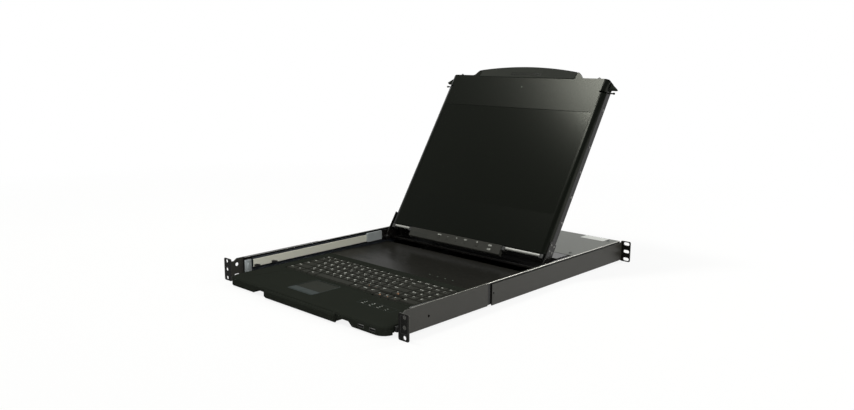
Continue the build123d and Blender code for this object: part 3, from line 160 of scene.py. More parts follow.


# Chassis: folded sheet steel, with a fine black powder coat that shows a brownish sheen.
# The coat is baked on after the folds are made, so every edge is a little round. The brackets are a
# shade paler, and their faces that look along the rack, the ears' fronts among them, are painted near
# black as painted shade; the rolled rim of the tray is painted pale grey as a painted highlight.
def surface(name, colour, other, patch, rough, spread, grain, bump,
            specular=0.5, metallic=0.0, streak=(1, 1, 1)):
    """A finish whose colour drifts between two tones, with a fine grain in its bump and gloss.

    patch and grain are how many spots of each lie along a metre; streak stretches them on one axis."""
    finish = bpy.data.materials.new(name)
    finish.use_nodes = True
    tree = finish.node_tree
    shader = tree.nodes["Principled BSDF"]
    place = tree.nodes.new("ShaderNodeTexCoord")
    stretch = tree.nodes.new("ShaderNodeMapping")
    stretch.inputs["Scale"].default_value = streak
    tree.links.new(place.outputs["Object"], stretch.inputs["Vector"])
    drift = tree.nodes.new("ShaderNodeTexNoise")
    drift.inputs["Scale"].default_value = patch
    drift.inputs["Detail"].default_value = 4
    tones = tree.nodes.new("ShaderNodeMix")
    tones.data_type = "RGBA"
    tones.inputs["A"].default_value = (*colour, 1)
    tones.inputs["B"].default_value = (*other, 1)
    fine = tree.nodes.new("ShaderNodeTexNoise")
    fine.inputs["Scale"].default_value = grain
    fine.inputs["Detail"].default_value = 3
    gloss = tree.nodes.new("ShaderNodeMapRange")
    gloss.inputs["To Min"].default_value = rough - spread
    gloss.inputs["To Max"].default_value = rough + spread
    relief = tree.nodes.new("ShaderNodeBump")
    relief.inputs["Strength"].default_value = 0.35
    relief.inputs["Distance"].default_value = bump
    for noise in (drift, fine):
        tree.links.new(stretch.outputs["Vector"], noise.inputs["Vector"])
    tree.links.new(drift.outputs["Fac"], tones.inputs["Factor"])
    tree.links.new(tones.outputs["Result"], shader.inputs["Base Color"])
    tree.links.new(fine.outputs["Fac"], gloss.inputs["Value"])
    tree.links.new(gloss.outputs["Result"], shader.inputs["Roughness"])
    tree.links.new(fine.outputs["Fac"], relief.inputs["Height"])
    tree.links.new(relief.outputs["Normal"], shader.inputs["Normal"])
    shader.inputs["Specular IOR Level"].default_value = specular
    shader.inputs["Metallic"].default_value = metallic
    return finish


def home_of(node):
    """The body that a CAD node rides on, and the slot it takes its finish from."""
    record = frame["record"]
    body = next(b for b, nodes in record["behaviour"]["bodies"].items() if node in nodes)
    return body, next(s["material_slot"] for s in record["subparts"] if s["node"] == node)


def settle(piece, name, finish, body, slot):
    """Names a finished piece, gives it its finish and fixes it to its body."""
    piece.name = name
    piece.data.name = name
    piece.data.materials.clear()
    piece.data.materials.append(finish)
    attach(piece, body)
    return piece


def soften(node, finish, width, steps=2, angle=28):
    """Stands for a CAD node with a copy of its own shape whose sharp edges are rounded."""
    bpy.ops.object.select_all(action="DESELECT")
    piece = bpy.data.objects.new(node + "_made", frame["nodes"][node].data.copy())
    scene.collection.objects.link(piece)
    bpy.context.view_layer.objects.active = piece
    piece.select_set(True)
    bpy.ops.object.mode_set(mode="EDIT")
    bpy.ops.mesh.select_all(action="SELECT")
    bpy.ops.mesh.remove_doubles(threshold=0.00001)
    bpy.ops.mesh.dissolve_limited(angle_limit=math.radians(0.5))
    bpy.ops.object.mode_set(mode="OBJECT")
    edge = piece.modifiers.new("edge", "BEVEL")
    edge.width = width
    edge.segments = steps
    edge.limit_method = "ANGLE"
    edge.angle_limit = math.radians(angle)
    edge.use_clamp_overlap = True
    edge.harden_normals = True
    bpy.ops.object.modifier_apply(modifier="edge")
    body, slot = home_of(node)
    settle(piece, node + "_made", finish, body, slot)
    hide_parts(node)
    return piece


powder_coat = surface(
    "powder_coat", (0.0062, 0.0060, 0.0056), (0.0088, 0.0080, 0.0072),
    patch=6, rough=0.26, spread=0.04, grain=2600, bump=0.00005, specular=0.30)
bracket_coat = surface(
    "bracket_coat", (0.030, 0.0290, 0.025), (0.038, 0.0365, 0.032),
    patch=7, rough=0.44, spread=0.06, grain=2600, bump=0.00012, specular=0.30)
# Painted shade: the brackets' faces that look along the rack, the ears' fronts among them, are turned
# from the lamps and get this near black in place of the bracket coat.
ear_painted_shade = surface(
    "ear_painted_shade", (0.0060, 0.0060, 0.0054), (0.0085, 0.0082, 0.0076),
    patch=7, rough=0.48, spread=0.05, grain=2600, bump=0.0001, specular=0.05)
for node in ("front_bracket_right", "front_bracket_left", "rear_bracket_right", "rear_bracket_left"):
    bracket = soften(node, bracket_coat, width=0.0005)
    bracket.data.materials.append(ear_painted_shade)
    # Faces turned along the rack take the painted shade.
    for face in bracket.data.polygons:
        gets_painted_shade = abs(face.normal.y) > 0.7
        face.material_index = 1 if gets_painted_shade else 0

tray = soften("chassis_tray", powder_coat, width=0.00055, steps=3)
# Painted highlight: the rolled rim's rounded faces are painted a pale metallic grey, for the bright line
# along the tray's top edge.
rim_painted_highlight = surface(
    "rim_painted_highlight", (0.44, 0.44, 0.40), (0.54, 0.53, 0.49),
    patch=20, rough=0.32, spread=0.04, grain=2600, bump=0.00002, specular=0.8, metallic=0.6)
tray.data.materials.append(rim_painted_highlight)
rim_out, rim_low, slope = 0.205, 0.012, 0.2
for face in tray.data.polygons:
    rolled = abs(face.normal.x) > slope and face.normal.z > slope
    on_rim = abs(face.center.x) > rim_out and face.center.z > rim_low
    face.material_index = 1 if rolled and on_rim else 0

soften("rear_panel", powder_coat, width=0.0003)


# Rear cover: a lid of the same sheet, painted in a greyer, glossier coat, and screwed down.
# A small blank paper label is stuck near its right rear corner.
grey_coat = surface(
    "grey_coat", (0.076, 0.083, 0.064), (0.090, 0.096, 0.075),
    patch=5, rough=0.36, spread=0.05, grain=2200, bump=0.0001, specular=0.42)
soften("rear_cover", grey_coat, width=0.0005)


def flat_ring(x0, x1, y0, y1, z, corner, rim, high):
    """A low rounded frame or, with no rim, a rounded plate, lying flat between the given sides."""
    bpy.ops.object.select_all(action="DESELECT")
    bpy.ops.mesh.primitive_plane_add(size=1, location=((x0 + x1) / 2, (y0 + y1) / 2, z))
    ring = bpy.context.object
    ring.dimensions = (x1 - x0, y1 - y0, 0)
    bpy.ops.object.transform_apply(location=True, rotation=True, scale=True)
    bpy.ops.object.mode_set(mode="EDIT")
    bpy.ops.mesh.select_all(action="SELECT")
    bpy.ops.mesh.bevel(offset=corner, segments=6, affect="VERTICES")
    bpy.ops.mesh.select_all(action="SELECT")
    if rim:
        bpy.ops.mesh.inset(thickness=rim)
        bpy.ops.mesh.delete(type="ONLY_FACE")
        bpy.ops.mesh.select_all(action="SELECT")
    bpy.ops.mesh.extrude_region_move(TRANSFORM_OT_translate={"value": (0, 0, high)})
    bpy.ops.mesh.select_all(action="SELECT")
    bpy.ops.mesh.normals_make_consistent(inside=False)
    bpy.ops.object.mode_set(mode="OBJECT")
    edge = ring.modifiers.new("edge", "BEVEL")
    edge.width = high * 0.4
    edge.segments = 2
    bpy.ops.object.modifier_apply(modifier="edge")
    return ring


label_paper = surface(
    "label_paper", (0.93, 0.94, 0.92), (0.86, 0.87, 0.85),
    patch=60, rough=0.7, spread=0.1, grain=900, bump=0.00005, specular=0.3)
cover_face = 0.02105
label = flat_ring(0.142, 0.196, 0.6085, 0.6335, cover_face, corner=0.002, rim=0, high=0.00014)
settle(label, "blank_label", label_paper, "chassis", "cover_steel")


# Ear frame: a small pressed steel frame on the right front ear, in the chassis's black coat.
# It stands round the ear's two upper holes.
ear_frame = flat_ring(0.2245, 0.2398, -0.0098, 0.0186, 0, corner=0.002, rim=0.0007, high=0.0004)
ear_frame.data.transform(Matrix.Rotation(math.pi / 2, 4, "X"))
settle(ear_frame, "ear_frame", powder_coat, *home_of("front_bracket_right"))


# Screws: pan heads with a cross recess, in black zinc on the lid, and in dull zinc on the display's
# sides and its hinge arms. Each set is copied from one head, and seated in what it holds.
zinc_plate = surface(
    "zinc_plate", (0.56, 0.61, 0.63), (0.66, 0.70, 0.72),
    patch=40, rough=0.36, spread=0.08, grain=1800, bump=0.00006, specular=0.5, metallic=0.45)
black_zinc = surface(
    "black_zinc", (0.016, 0.016, 0.016), (0.026, 0.026, 0.025),
    patch=60, rough=0.38, spread=0.08, grain=1800, bump=0.00005, specular=0.3, metallic=0.3)


def screw_head(radius, height):
    """A pan head standing on Z, with its recess cut by a cross."""
    bpy.ops.object.select_all(action="DESELECT")
    bpy.ops.mesh.primitive_cylinder_add(
        vertices=28, radius=radius, depth=height, location=(0, 0, height / 2))
    head = bpy.context.object
    blade_long, blade_wide, blade_deep = radius * 1.25, radius * 0.3, height * 1.1
    bpy.ops.object.transform_apply(location=True, rotation=True, scale=True)
    bpy.ops.object.mode_set(mode="EDIT")
    bpy.ops.mesh.select_all(action="DESELECT")
    bpy.ops.object.mode_set(mode="OBJECT")
    for face in head.data.polygons:
        face.select = face.normal.z > 0.9
    bpy.ops.object.mode_set(mode="EDIT")
    bpy.ops.mesh.bevel(offset=height * 0.45, segments=3, affect="EDGES")
    bpy.ops.object.mode_set(mode="OBJECT")
    for turned in (0, math.pi / 2):
        bpy.ops.object.select_all(action="DESELECT")
        bpy.ops.mesh.primitive_cube_add(size=1, location=(0, 0, height), rotation=(0, 0, turned))
        blade = bpy.context.object
        blade.dimensions = (blade_long, blade_wide, blade_deep)
        bpy.ops.object.transform_apply(location=True, rotation=True, scale=True)
        cut = head.modifiers.new("recess", "BOOLEAN")
        cut.operation = "DIFFERENCE"
        cut.object = blade
        bpy.ops.object.select_all(action="DESELECT")
        head.select_set(True)
        bpy.context.view_layer.objects.active = head
        bpy.ops.object.modifier_apply(modifier="recess")
        bpy.data.objects.remove(blade)
    return head


def set_out(model, places, name, finish, body, slot, *nodes):
    """Copies a model to each place and makes one piece of the copies."""
    copies = []
    for place in places:
        twin = bpy.data.objects.new(name, model.data.copy())
        twin.data.transform(place)
        scene.collection.objects.link(twin)
        copies.append(twin)
    bpy.ops.object.select_all(action="DESELECT")
    for twin in copies:
        twin.select_set(True)
    bpy.context.view_layer.objects.active = copies[0]
    if len(copies) > 1:
        bpy.ops.object.join()
    piece = settle(bpy.context.object, name, finish, body, slot)
    if nodes:
        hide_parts(*nodes)
    bpy.data.objects.remove(model)
    return piece


def dress(finish, node):
    """Gives a CAD node its finish."""
    mesh = frame["nodes"][node].data
    mesh.materials.clear()
    mesh.materials.append(finish)


dress(zinc_plate, "cover_screws")
lid_head_seat = 0.02155
lid_heads = [Matrix.Translation((x, y, lid_head_seat))
             for x in (-0.2023, 0.2023) for y in (0.4815, 0.620)]
set_out(screw_head(radius=0.0032, height=0.0005), lid_heads, "lid_screw_heads",
        black_zinc, "chassis", "zinc")

# The display stands at 122.3 degrees from shut. Its own directions are X, S up the face, N out of it.
hinge_axis, face_from_axis, upright = (0, 0.384, 0.00355), (0, 0.0327, 0.00516), math.radians(57.7)
at_hinge = Matrix.Translation(hinge_axis) @ Matrix.Rotation(upright, 4, "X")
on_display = at_hinge @ Matrix.Translation(face_from_axis)
shell_side, shell_middle, arm_side = 0.203, -0.01475, 0.205
side_heads = []
arm_heads = []
for side in (1, -1):
    outward = Matrix.Rotation(side * math.pi / 2, 4, "Y")
    for s in (0.069, 0.1223, 0.1757, 0.229, 0.310):
        spot = Matrix.Translation((side * shell_side, s, shell_middle))
        side_heads.append(on_display @ spot @ outward)
    for s in (0.008, 0.020):
        for depth in (-0.0055, -0.0145):
            spot = Matrix.Translation((side * arm_side, s, depth))
            arm_heads.append(on_display @ spot @ outward)
dull_zinc = surface(
    "dull_zinc", (0.16, 0.16, 0.155), (0.22, 0.22, 0.21),
    patch=60, rough=0.42, spread=0.08, grain=1800, bump=0.00005, specular=0.4, metallic=0.4)
set_out(screw_head(radius=0.0022, height=0.0007), side_heads, "side_screw_heads",
        dull_zinc, "display", "zinc", "display_screws")
set_out(screw_head(radius=0.0020, height=0.0007), arm_heads, "arm_screw_heads",
        dull_zinc, "display", "zinc", "display_screws")


# Slides: three-piece telescopic rails, rolled from plated strip with a long groove that the balls run
# in. The display's inner members are bright and the others are dark and bluish. Zinc plates close their
# front ends, and black plastic stops are snapped to the inner members.
rolled_steel = surface(
    "rolled_steel", (0.88, 0.87, 0.76), (0.94, 0.93, 0.83),
    patch=14, rough=0.44, spread=0.08, grain=1500, bump=0.00008,
    specular=0.5, metallic=0.25, streak=(1, 0.04, 1))
blue_steel = surface(
    "blue_steel", (0.030, 0.036, 0.046), (0.050, 0.058, 0.070),
    patch=20, rough=0.36, spread=0.07, grain=1500, bump=0.00006,
    specular=0.5, metallic=0.4, streak=(1, 0.04, 1))
soften("lcd_slide_inner", rolled_steel, width=0.0003)
for node in ("lcd_slide_middle", "lcd_slide_outer", "keyboard_slide_outer", "keyboard_slide_middle",
             "keyboard_slide_inner"):
    soften(node, blue_steel, width=0.0003)
soften("slide_end_brackets", zinc_plate, width=0.0003)
dress(zinc_plate, "bracket_studs")
stop_plastic = surface(
    "stop_plastic", (0.012, 0.012, 0.012), (0.020, 0.020, 0.020),
    patch=90, rough=0.45, spread=0.08, grain=1500, bump=0.00008)
soften("slide_stops", stop_plastic, width=0.0004)


# Display carriage: zinc side plates on the inner rails, which carry the display's hinge pins and are
# painted black from just before the hinge to the rear. A black folded bridge joins them.
painted_from = 0.373
hinge_plates = soften("hinge_plates", zinc_plate, width=0.0003)
hinge_plates.data.materials.append(powder_coat)
bpy.ops.object.select_all(action="DESELECT")
bpy.context.view_layer.objects.active = hinge_plates
hinge_plates.select_set(True)
bpy.ops.object.mode_set(mode="EDIT")
bpy.ops.mesh.select_all(action="SELECT")
bpy.ops.mesh.bisect(plane_co=(0, painted_from, 0), plane_no=(0, 1, 0))
bpy.ops.object.mode_set(mode="OBJECT")
for face in hinge_plates.data.polygons:
    face.material_index = 1 if face.center.y > painted_from else 0
soften("carriage_bridge", powder_coat, width=0.0004)


# Keyboard drawer: two black mouldings with a fine spark-eroded texture and a faint green cast.
# The lower one carries the grip, and the upper one the palm rest.
moulded_black = surface(
    "moulded_black", (0.0150, 0.0170, 0.0140), (0.0190, 0.0212, 0.0175),
    patch=9, rough=0.62, spread=0.05, grain=3200, bump=0.00014, specular=0.0)
soften("keyboard_tray", moulded_black, width=0.0009, steps=3)
soften("keyboard_deck", moulded_black, width=0.0006, steps=3)
smooth_black = surface(
    "smooth_black", (0.0120, 0.0120, 0.0105), (0.0165, 0.0160, 0.0140),
    patch=12, rough=0.30, spread=0.04, grain=2600, bump=0.00004,
    specular=0.025, metallic=0, streak=(1, 6, 1))
soften("rear_deck", smooth_black, width=0.0005)
# Painted shade: the key plate seen between the keys, and the board inside the drawer, are painted all but
# black.
shade_black = surface(
    "shade_black", (0.0020, 0.0020, 0.0018), (0.0035, 0.0035, 0.0030),
    patch=40, rough=0.7, spread=0.1, grain=900, bump=0.00005, specular=0.0)
dress(shade_black, "key_plate")
board_green = surface(
    "board_green", (0.004, 0.022, 0.012), (0.004, 0.016, 0.009),
    patch=120, rough=0.4, spread=0.1, grain=1200, bump=0.00006, specular=0.3)
dress(board_green, "main_board")
dress(shade_black, "keyboard_board")
soften("release_lever_left", stop_plastic, width=0.0004)
soften("release_lever_right", stop_plastic, width=0.0004)


# Keys: low caps of matt black plastic, a row of them to each body, on springs.
# Legends are printed on their tops in white, and a few in brown.
key_black = surface(
    "key_black", (0.0275, 0.0280, 0.0245), (0.0345, 0.0350, 0.0305),
    patch=25, rough=0.56, spread=0.06, grain=3600, bump=0.0001, specular=0.01)
for row in range(1, 7):
    soften(f"key_row_{row}", key_black, width=0.0006)
soften("space_bar", key_black, width=0.0006)

print_white = surface(
    "print_white", (0.58, 0.59, 0.55), (0.48, 0.49, 0.46),
    patch=300, rough=0.6, spread=0.1, grain=2500, bump=0.00002, specular=0.3)
print_brown = surface(
    "print_brown", (0.52, 0.24, 0.12), (0.44, 0.19, 0.09),
    patch=300, rough=0.6, spread=0.1, grain=2500, bump=0.00002, specular=0.3)
pitch, key_left, key_front, key_top = 0.019, -0.1805, 0.094, -0.00275
top_row_deep, arrow_drop, number_pad = 0.014, 0.005, 0.10
letter_high, word_high, small_high, brown_high = 0.0046, 0.0028, 0.0026, 0.0036
legend_in, print_lift = 0.0042, 0.00002
size_per_capital, stroke_swell = 1.38, 0.035


def printed(marks, name, finish, body, slot, place):
    """Prints marks flat on a surface: each is its words, X, Y, height and where its X lies on it."""
    bpy.ops.object.select_all(action="DESELECT")
    texts = []
    for words, x, y, high, hold in marks:
        curve = bpy.data.curves.new(name, "FONT")
        curve.body = words
        curve.size = high * size_per_capital
        curve.align_x = hold
        curve.align_y = "CENTER"
        curve.resolution_u = 2
        curve.offset = high * stroke_swell
        text = bpy.data.objects.new(name, curve)
        text.location = (x, y, 0)
        scene.collection.objects.link(text)
        text.select_set(True)
        texts.append(text)
    bpy.context.view_layer.objects.active = texts[0]
    bpy.ops.object.convert(target="MESH")
    if len(texts) > 1:
        bpy.ops.object.join()
    sheet = bpy.context.object
    bpy.ops.object.transform_apply(location=True, rotation=True, scale=True)
    sheet.data.transform(place)
    return settle(sheet, name, finish, body, slot)


# Each row, from the front: how many key pitches each key is wide, and the words on it.
key_words = {
    1: ([1.25, 1, 1, 1.25, 5, 1.25, 1, 1.25, 1, 1, 1, 2, 1],
        ["Ctrl", "Fn", "", "Alt", "", "Alt", "Menu", "Ctrl", "<", "v", ">", "0", "."]),
    2: ([2.25] + [1] * 10 + [1.75, 1, 1, 1, 1, 1],
        ["Shift", *"ZXCVBNM,./", "Shift", "^", "End", "1", "2", "3"]),
    3: ([1.75] + [1] * 11 + [2.25, 1, 1, 1, 1], ["Caps", *"ASDFGHJKL;'", "Enter", "PgDn", "4", "5", "6"]),
    4: ([1.5] + [1] * 12 + [1.5, 1, 1, 1, 1], ["Tab", *"QWERTYUIOP[]", "\\", "PgUp", "7", "8", "9"]),
    5: ([1] * 13 + [2, 1, 1, 1, 1], [*"`1234567890-=", "Back", "Home", "Num", "/", "*"]),
    6: ([1] * 19,
        ["Esc"] + [f"F{n}" for n in range(1, 13)] + ["PrtSc", "ScrLk", "Pause", "Ins", "Del", "+"]),
}
shifted = dict(zip("`1234567890-=[]\\;',./", "~!@#$%^&*()_+{}|:\"<>?"))
key_print = Matrix.Translation((0, 0, key_top + print_lift))
for row, (widths, words) in key_words.items():
    marks = []
    browns = []
    x = key_left
    y = key_front + (row - 1) * pitch
    deep = top_row_deep if row == 6 else pitch
    for n, (units, word) in enumerate(zip(widths, words)):
        arrow = row == 1 and 8 <= n <= 10
        front = y - (arrow_drop if arrow else 0)
        if word:
            high = letter_high if len(word) == 1 else word_high
            lift = deep * (0.5 if row == 6 else 0.62)
            marks.append((word, x + legend_in, front + lift, high, "LEFT"))
            if row in (2, 3, 4, 5) and word in shifted and x < number_pad:
                marks.append((shifted[word], x + legend_in, front + deep * 0.80, high * 0.75, "LEFT"))
            if arrow or row == 2 and word in (".", "/", "^"):
                sign = ("Fn", "+", "-", "=")[n % 4]
                browns.append((sign, x + pitch * 0.55, front + deep * 0.34, brown_high, "LEFT"))
            elif len(word) == 1 and row < 6:
                second = word.lower() if word.isalpha() else "'"
                marks.append((second, x + pitch * 0.60, front + deep * 0.32, small_high, "LEFT"))
        x += units * pitch
    body = f"key_row_{row}"
    printed(marks, f"key_legends_{row}", print_white, body, "key_plastic", key_print)
    if browns:
        printed(browns, f"key_legends_brown_{row}", print_brown, body, "key_plastic", key_print)


# Touchpad: a smooth grey sheet sunk in the palm rest, with a thin raised line round it.
# Two paler buttons lie in front of it, on springs.
pad_grey = surface(
    "pad_grey", (0.025, 0.027, 0.0230), (0.030, 0.032, 0.0275),
    patch=20, rough=0.50, spread=0.05, grain=4200, bump=0.00004, specular=0.005)
button_grey = surface(
    "button_grey", (0.030, 0.038, 0.038), (0.038, 0.047, 0.0465),
    patch=30, rough=0.42, spread=0.05, grain=3200, bump=0.00004, specular=0.02)
soften("touchpad", pad_grey, width=0.0004)
recess_bed = -0.00436
pad_line = flat_ring(-0.0715, -0.0035, 0.0155, 0.0815, recess_bed, corner=0.004, rim=0.0009, high=0.00012)
settle(pad_line, "pad_outline", button_grey, "keyboard", "deck_plastic")
soften("touchpad_button_left", button_grey, width=0.0005, steps=3)
soften("touchpad_button_right", button_grey, width=0.0005, steps=3)


# Lamp panel in the palm rest: lock lamps under clear windows, with their printed names, and a thin
# printed frame. Another row of small lamps is behind the keys.
panel_face, rear_face = -0.00435, -0.00495
lamp_columns = (0.0885, 0.1065, 0.1245, 0.1425)
sign_row, lamp_row, word_row = 0.0575, 0.0527, 0.0475
lamp_marks = [(sign, x, sign_row, 0.0032, "CENTER") for sign, x in zip("1Av", lamp_columns)]
for word, x in zip(("Num", "Caps", "Scroll", "Fn"), lamp_columns):
    lamp_marks.append((word, x, word_row, 0.0019, "CENTER"))
deck_print = Matrix.Translation((0, 0, panel_face + print_lift))
printed(lamp_marks, "lamp_names", print_white, "keyboard", "deck_plastic", deck_print)
panel_line = flat_ring(0.0765, 0.1575, 0.0445, 0.0625, recess_bed, corner=0.002, rim=0.0003, high=0.00010)
settle(panel_line, "lamp_panel_frame", button_grey, "keyboard", "deck_plastic")


def lamp_window(width, depth, height=0.0004, proud=0.0001):
    """A low clear window with a rounded edge, whose middle lies a little above Z = 0."""
    bpy.ops.object.select_all(action="DESELECT")
    bpy.ops.mesh.primitive_cube_add(size=1, location=(0, 0, 0))
    window = bpy.context.object
    window.dimensions = (width, depth, height)
    window.location = (0, 0, proud)
    bpy.ops.object.transform_apply(location=True, rotation=True, scale=True)
    bpy.ops.object.mode_set(mode="EDIT")
    bpy.ops.mesh.select_all(action="SELECT")
    bpy.ops.mesh.bevel(offset=0.00015, segments=2)
    bpy.ops.object.mode_set(mode="OBJECT")
    return window


lamp_clear = surface(
    "lamp_clear", (0.16, 0.20, 0.17), (0.22, 0.26, 0.22),
    patch=200, rough=0.18, spread=0.05, grain=2000, bump=0.00002, specular=0.6)
lock_lamps = [Matrix.Translation((x, lamp_row, panel_face)) for x in lamp_columns]
set_out(lamp_window(width=0.003, depth=0.0014), lock_lamps, "lock_lamps",
        lamp_clear, "keyboard", "deck_plastic")
rear_lamps = [Matrix.Translation((x, 0.2485, rear_face)) for x in (0.051, 0.070, 0.089, 0.107)]
set_out(lamp_window(width=0.0022, depth=0.0016), rear_lamps, "rear_lamps",
        lamp_clear, "keyboard", "deck_plastic")

# A plain thin frame marks the name place behind the keys, which is left bare.
name_place = flat_ring(-0.150, -0.112, 0.2500, 0.2560, -0.00497, corner=0.001, rim=0.0004, high=0.00016)
settle(name_place, "deck_name_place", button_grey, "keyboard", "deck_plastic")


# Sockets in the drawer's front: drawn steel shells with dark contact tongues, fixed to the board
# inside, so that only their mouths show in the moulding.
socket_tin = surface(
    "socket_tin", (0.10, 0.10, 0.10), (0.15, 0.15, 0.145),
    patch=60, rough=0.38, spread=0.06, grain=1800, bump=0.00004, specular=0.4, metallic=0.6)
soften("usb_ports", socket_tin, width=0.0001)


# Display: a moulded black bezel with rolled long sides, on a painted steel back shell.
# The bezel's satin face catches the lamp towards its upper right. The handle has a textured grey
# insert, and its hooks hold the shut display down.
bezel_black = surface(
    "bezel_black", (0.0006, 0.0013, 0.0006), (0.0012, 0.0019, 0.0011),
    patch=5, rough=0.27, spread=0.01, grain=3600, bump=0.000001, specular=0.140)
soften("display_bezel", bezel_black, width=0.0005, steps=3, angle=40)
soften("display_shell", powder_coat, width=0.0003)
insert_grey = surface(
    "insert_grey", (0.028, 0.030, 0.0265), (0.036, 0.038, 0.0340),
    patch=20, rough=0.52, spread=0.06, grain=2800, bump=0.00012, specular=0.02)
soften("display_handle", insert_grey, width=0.0004, angle=40)
soften("latch_hooks", moulded_black, width=0.0004)
soften("hinge_arms", powder_coat, width=0.0003)
dress(stop_plastic, "bumpers")


# Handle bead: a glossy black edge moulded along the arch of the handle, over its grey insert.
# In the low bar in the middle of the handle, the dimple bottoms are painted the same gloss black, as
# painted shade.
gloss_black_and_dimple_shade = surface(
    "gloss_black_and_dimple_shade", (0.003, 0.003, 0.003), (0.005, 0.005, 0.005),
    patch=10, rough=0.16, spread=0.03, grain=1500, bump=0.00002, specular=0.3)
half_arch, low_arch, crest = 0.1228, 0.3843, 0.3938
bow = (half_arch ** 2 + (crest - low_arch) ** 2) / (2 * (crest - low_arch))
spread = math.asin(half_arch / bow)
rim_line = bpy.data.curves.new("handle_rim", "CURVE")
rim_line.dimensions = "3D"
rim_line.bevel_depth = 0.0011
rim_line.bevel_resolution = 3
rim_line.use_fill_caps = True
handle = bpy.data.objects["display_handle_made"]
handle.data.materials.append(gloss_black_and_dimple_shade)
flat_again = on_display.inverted()
bar_half, bar_low, bar_high, bar_proud = 0.045, 0.3742, 0.3812, 0.00045
# Painted shade: the faces just above the insert in the middle bar, the bottoms of its dimples, take the
# gloss black.
for face in handle.data.polygons:
    spot = flat_again @ face.center
    if abs(spot.x) < bar_half and bar_low < spot.y < bar_high and spot.z < bar_proud:
        face.material_index = 1 if spot.z > 0 else 0
arch = rim_line.splines.new("POLY")
arch_steps = 32
arch.points.add(arch_steps)
for n, point in enumerate(arch.points):
    lean = spread * (2 * n / arch_steps - 1)
    point.co = (bow * math.sin(lean), crest - bow * (1 - math.cos(lean)), -0.0002, 1)
bpy.ops.object.select_all(action="DESELECT")
bead = bpy.data.objects.new("handle_rim", rim_line)
scene.collection.objects.link(bead)
bpy.context.view_layer.objects.active = bead
bead.select_set(True)
bpy.ops.object.convert(target="MESH")
bead = bpy.context.object
bead.data.transform(on_display)
bpy.ops.object.shade_smooth()
settle(bead, "handle_rim_bead", gloss_black_and_dimple_shade, "display", "bezel_plastic")


# Sensor window: a small clear disc over the display's light sensor.
# It is pressed into the bezel, in the middle above the screen.
sensor = flat_ring(0.0003, 0.0025, 0.3457, 0.3479, 0, corner=0.001, rim=0, high=0.0001)
sensor.data.transform(on_display)
settle(sensor, "sensor_window", lamp_clear, "display", "bezel_plastic")


# Screen: a matt sheet, near black, whose fine haze spreads the lamp into a wide soft glow.
# The sheet is the face of a grey module, which the bezel holds in the back shell.
screen_haze = surface(
    "screen_haze", (0.0004, 0.0010, 0.0003), (0.0008, 0.0014, 0.0006),
    patch=3, rough=0.175, spread=0.005, grain=5200, bump=0.000001, specular=0.185)
for finish in (bezel_black, screen_haze):
    finish.node_tree.nodes["Principled BSDF"].inputs["Specular Tint"].default_value = (0.96, 1.0, 0.88, 1)
dress(screen_haze, "lcd_panel")
module_grey = surface(
    "module_grey", (0.08, 0.08, 0.08), (0.11, 0.11, 0.11),
    patch=30, rough=0.5, spread=0.1, grain=1500, bump=0.00008)
dress(module_grey, "lcd_module")


# Control strip: a dark grey moulding under the display with printed marks above its buttons.
# Bright anodised bars run on from its ends, held in black blocks.
strip_grey = surface(
    "strip_grey", (0.038, 0.038, 0.034), (0.048, 0.048, 0.044),
    patch=12, rough=0.44, spread=0.05, grain=3000, bump=0.0001, specular=0.08)
soften("control_strip", strip_grey, width=0.0005, steps=3)
for node in ("osd_button_1", "osd_button_2", "osd_button_3", "osd_button_4", "power_button"):
    soften(node, strip_grey, width=0.0002)
bar_satin = surface(
    "bar_satin", (0.40, 0.41, 0.39), (0.48, 0.48, 0.46),
    patch=10, rough=0.40, spread=0.05, grain=1600, bump=0.00005,
    specular=0.5, metallic=0.3, streak=(0.05, 1, 1))
dress(bar_satin, "hinge_bars")
soften("bar_blocks", stop_plastic, width=0.0004)
strip_print = on_display @ Matrix.Translation((0, 0, print_lift))

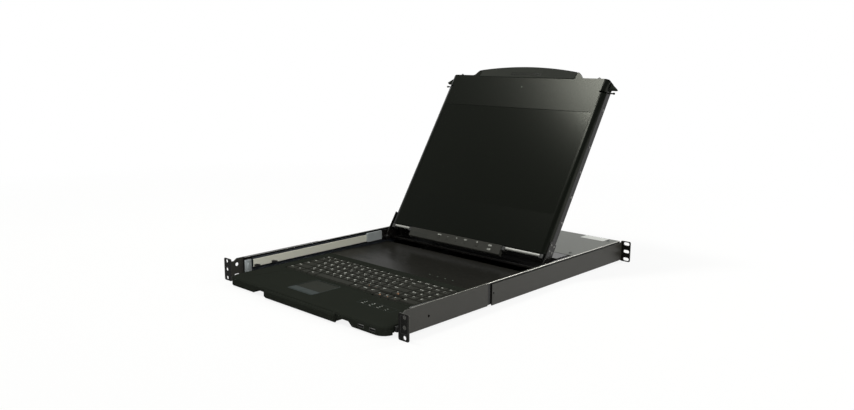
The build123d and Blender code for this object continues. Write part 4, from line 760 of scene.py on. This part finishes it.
# The power sign is an O with an I over it.
strip_marks = [("MENU", -0.0584, -0.0052, 0.0025, "CENTER"), ("-", -0.0351, -0.0052, 0.0036, "CENTER"),
               ("+", -0.0118, -0.0052, 0.0036, "CENTER"), ("EXIT", 0.0115, -0.0052, 0.0025, "CENTER"),
               ("O", 0.0415, -0.0046, 0.0030, "CENTER"), ("I", 0.0415, -0.0046, 0.0030, "CENTER"),
               ("ON", 0.0745, -0.0060, 0.0036, "CENTER"), ("OFF", 0.0745, -0.0140, 0.0036, "CENTER")]
printed(strip_marks, "strip_marks", print_white, "display", "strip_plastic", strip_print)

# A plain thin frame marks the strip's name place, which is left bare.
strip_place = flat_ring(-0.127, -0.091, -0.0170, -0.0110, 0, corner=0.001, rim=0.0004, high=0.00014)
strip_place.data.transform(on_display)
settle(strip_place, "strip_name_place", button_grey, "display", "strip_plastic")


# Rear sockets and switch: a black mains inlet and rocker, and zinc shells with black mouths, fixed in
# the rear panel. The supply inside is a plated steel box. The rocker's two marks are printed on it,
# each on its own slope.
socket_black = surface(
    "socket_black", (0.012, 0.012, 0.012), (0.017, 0.017, 0.017),
    patch=60, rough=0.32, spread=0.06, grain=1800, bump=0.00005)
soften("power_inlet", socket_black, width=0.0003)
soften("rocker_frame", socket_black, width=0.0003)
rocker = soften("power_rocker", socket_black, width=0.0003)
ports = soften("console_ports", zinc_plate, width=0.0002)
ports.data.materials.append(socket_black)
port_end = max(corner[1] for corner in ports.bound_box)
shell_from, mouth_from = port_end - 0.0052, port_end - 0.0001
for face in ports.data.polygons:
    on_shell = shell_from <= face.center.y <= mouth_from
    face.material_index = 0 if on_shell else 1
dress(rolled_steel, "power_supply")

bpy.context.view_layer.update()
middle = sum((Vector(corner) for corner in rocker.bound_box), Vector()) / 8
from_behind, side = Vector((0, -1, 0)), Vector((-1, 0, 0))
mark_from_middle, mark_high, mark_lift = 0.0044, 0.0026, 0.00004
for word, way, name in (("I", 1, "rocker_mark_on"), ("O", -1, "rocker_mark_off")):
    eye = Vector((middle.x, 1, middle.z + way * mark_from_middle))
    spot, normal = rocker.ray_cast(eye, from_behind)[1:3]
    plane = Matrix((side, normal.cross(side), normal)).transposed().to_4x4()
    place = Matrix.Translation(spot + normal * mark_lift) @ plane
    printed([(word, 0, 0, mark_high, "CENTER")], name, print_white, *home_of("power_rocker"), place)
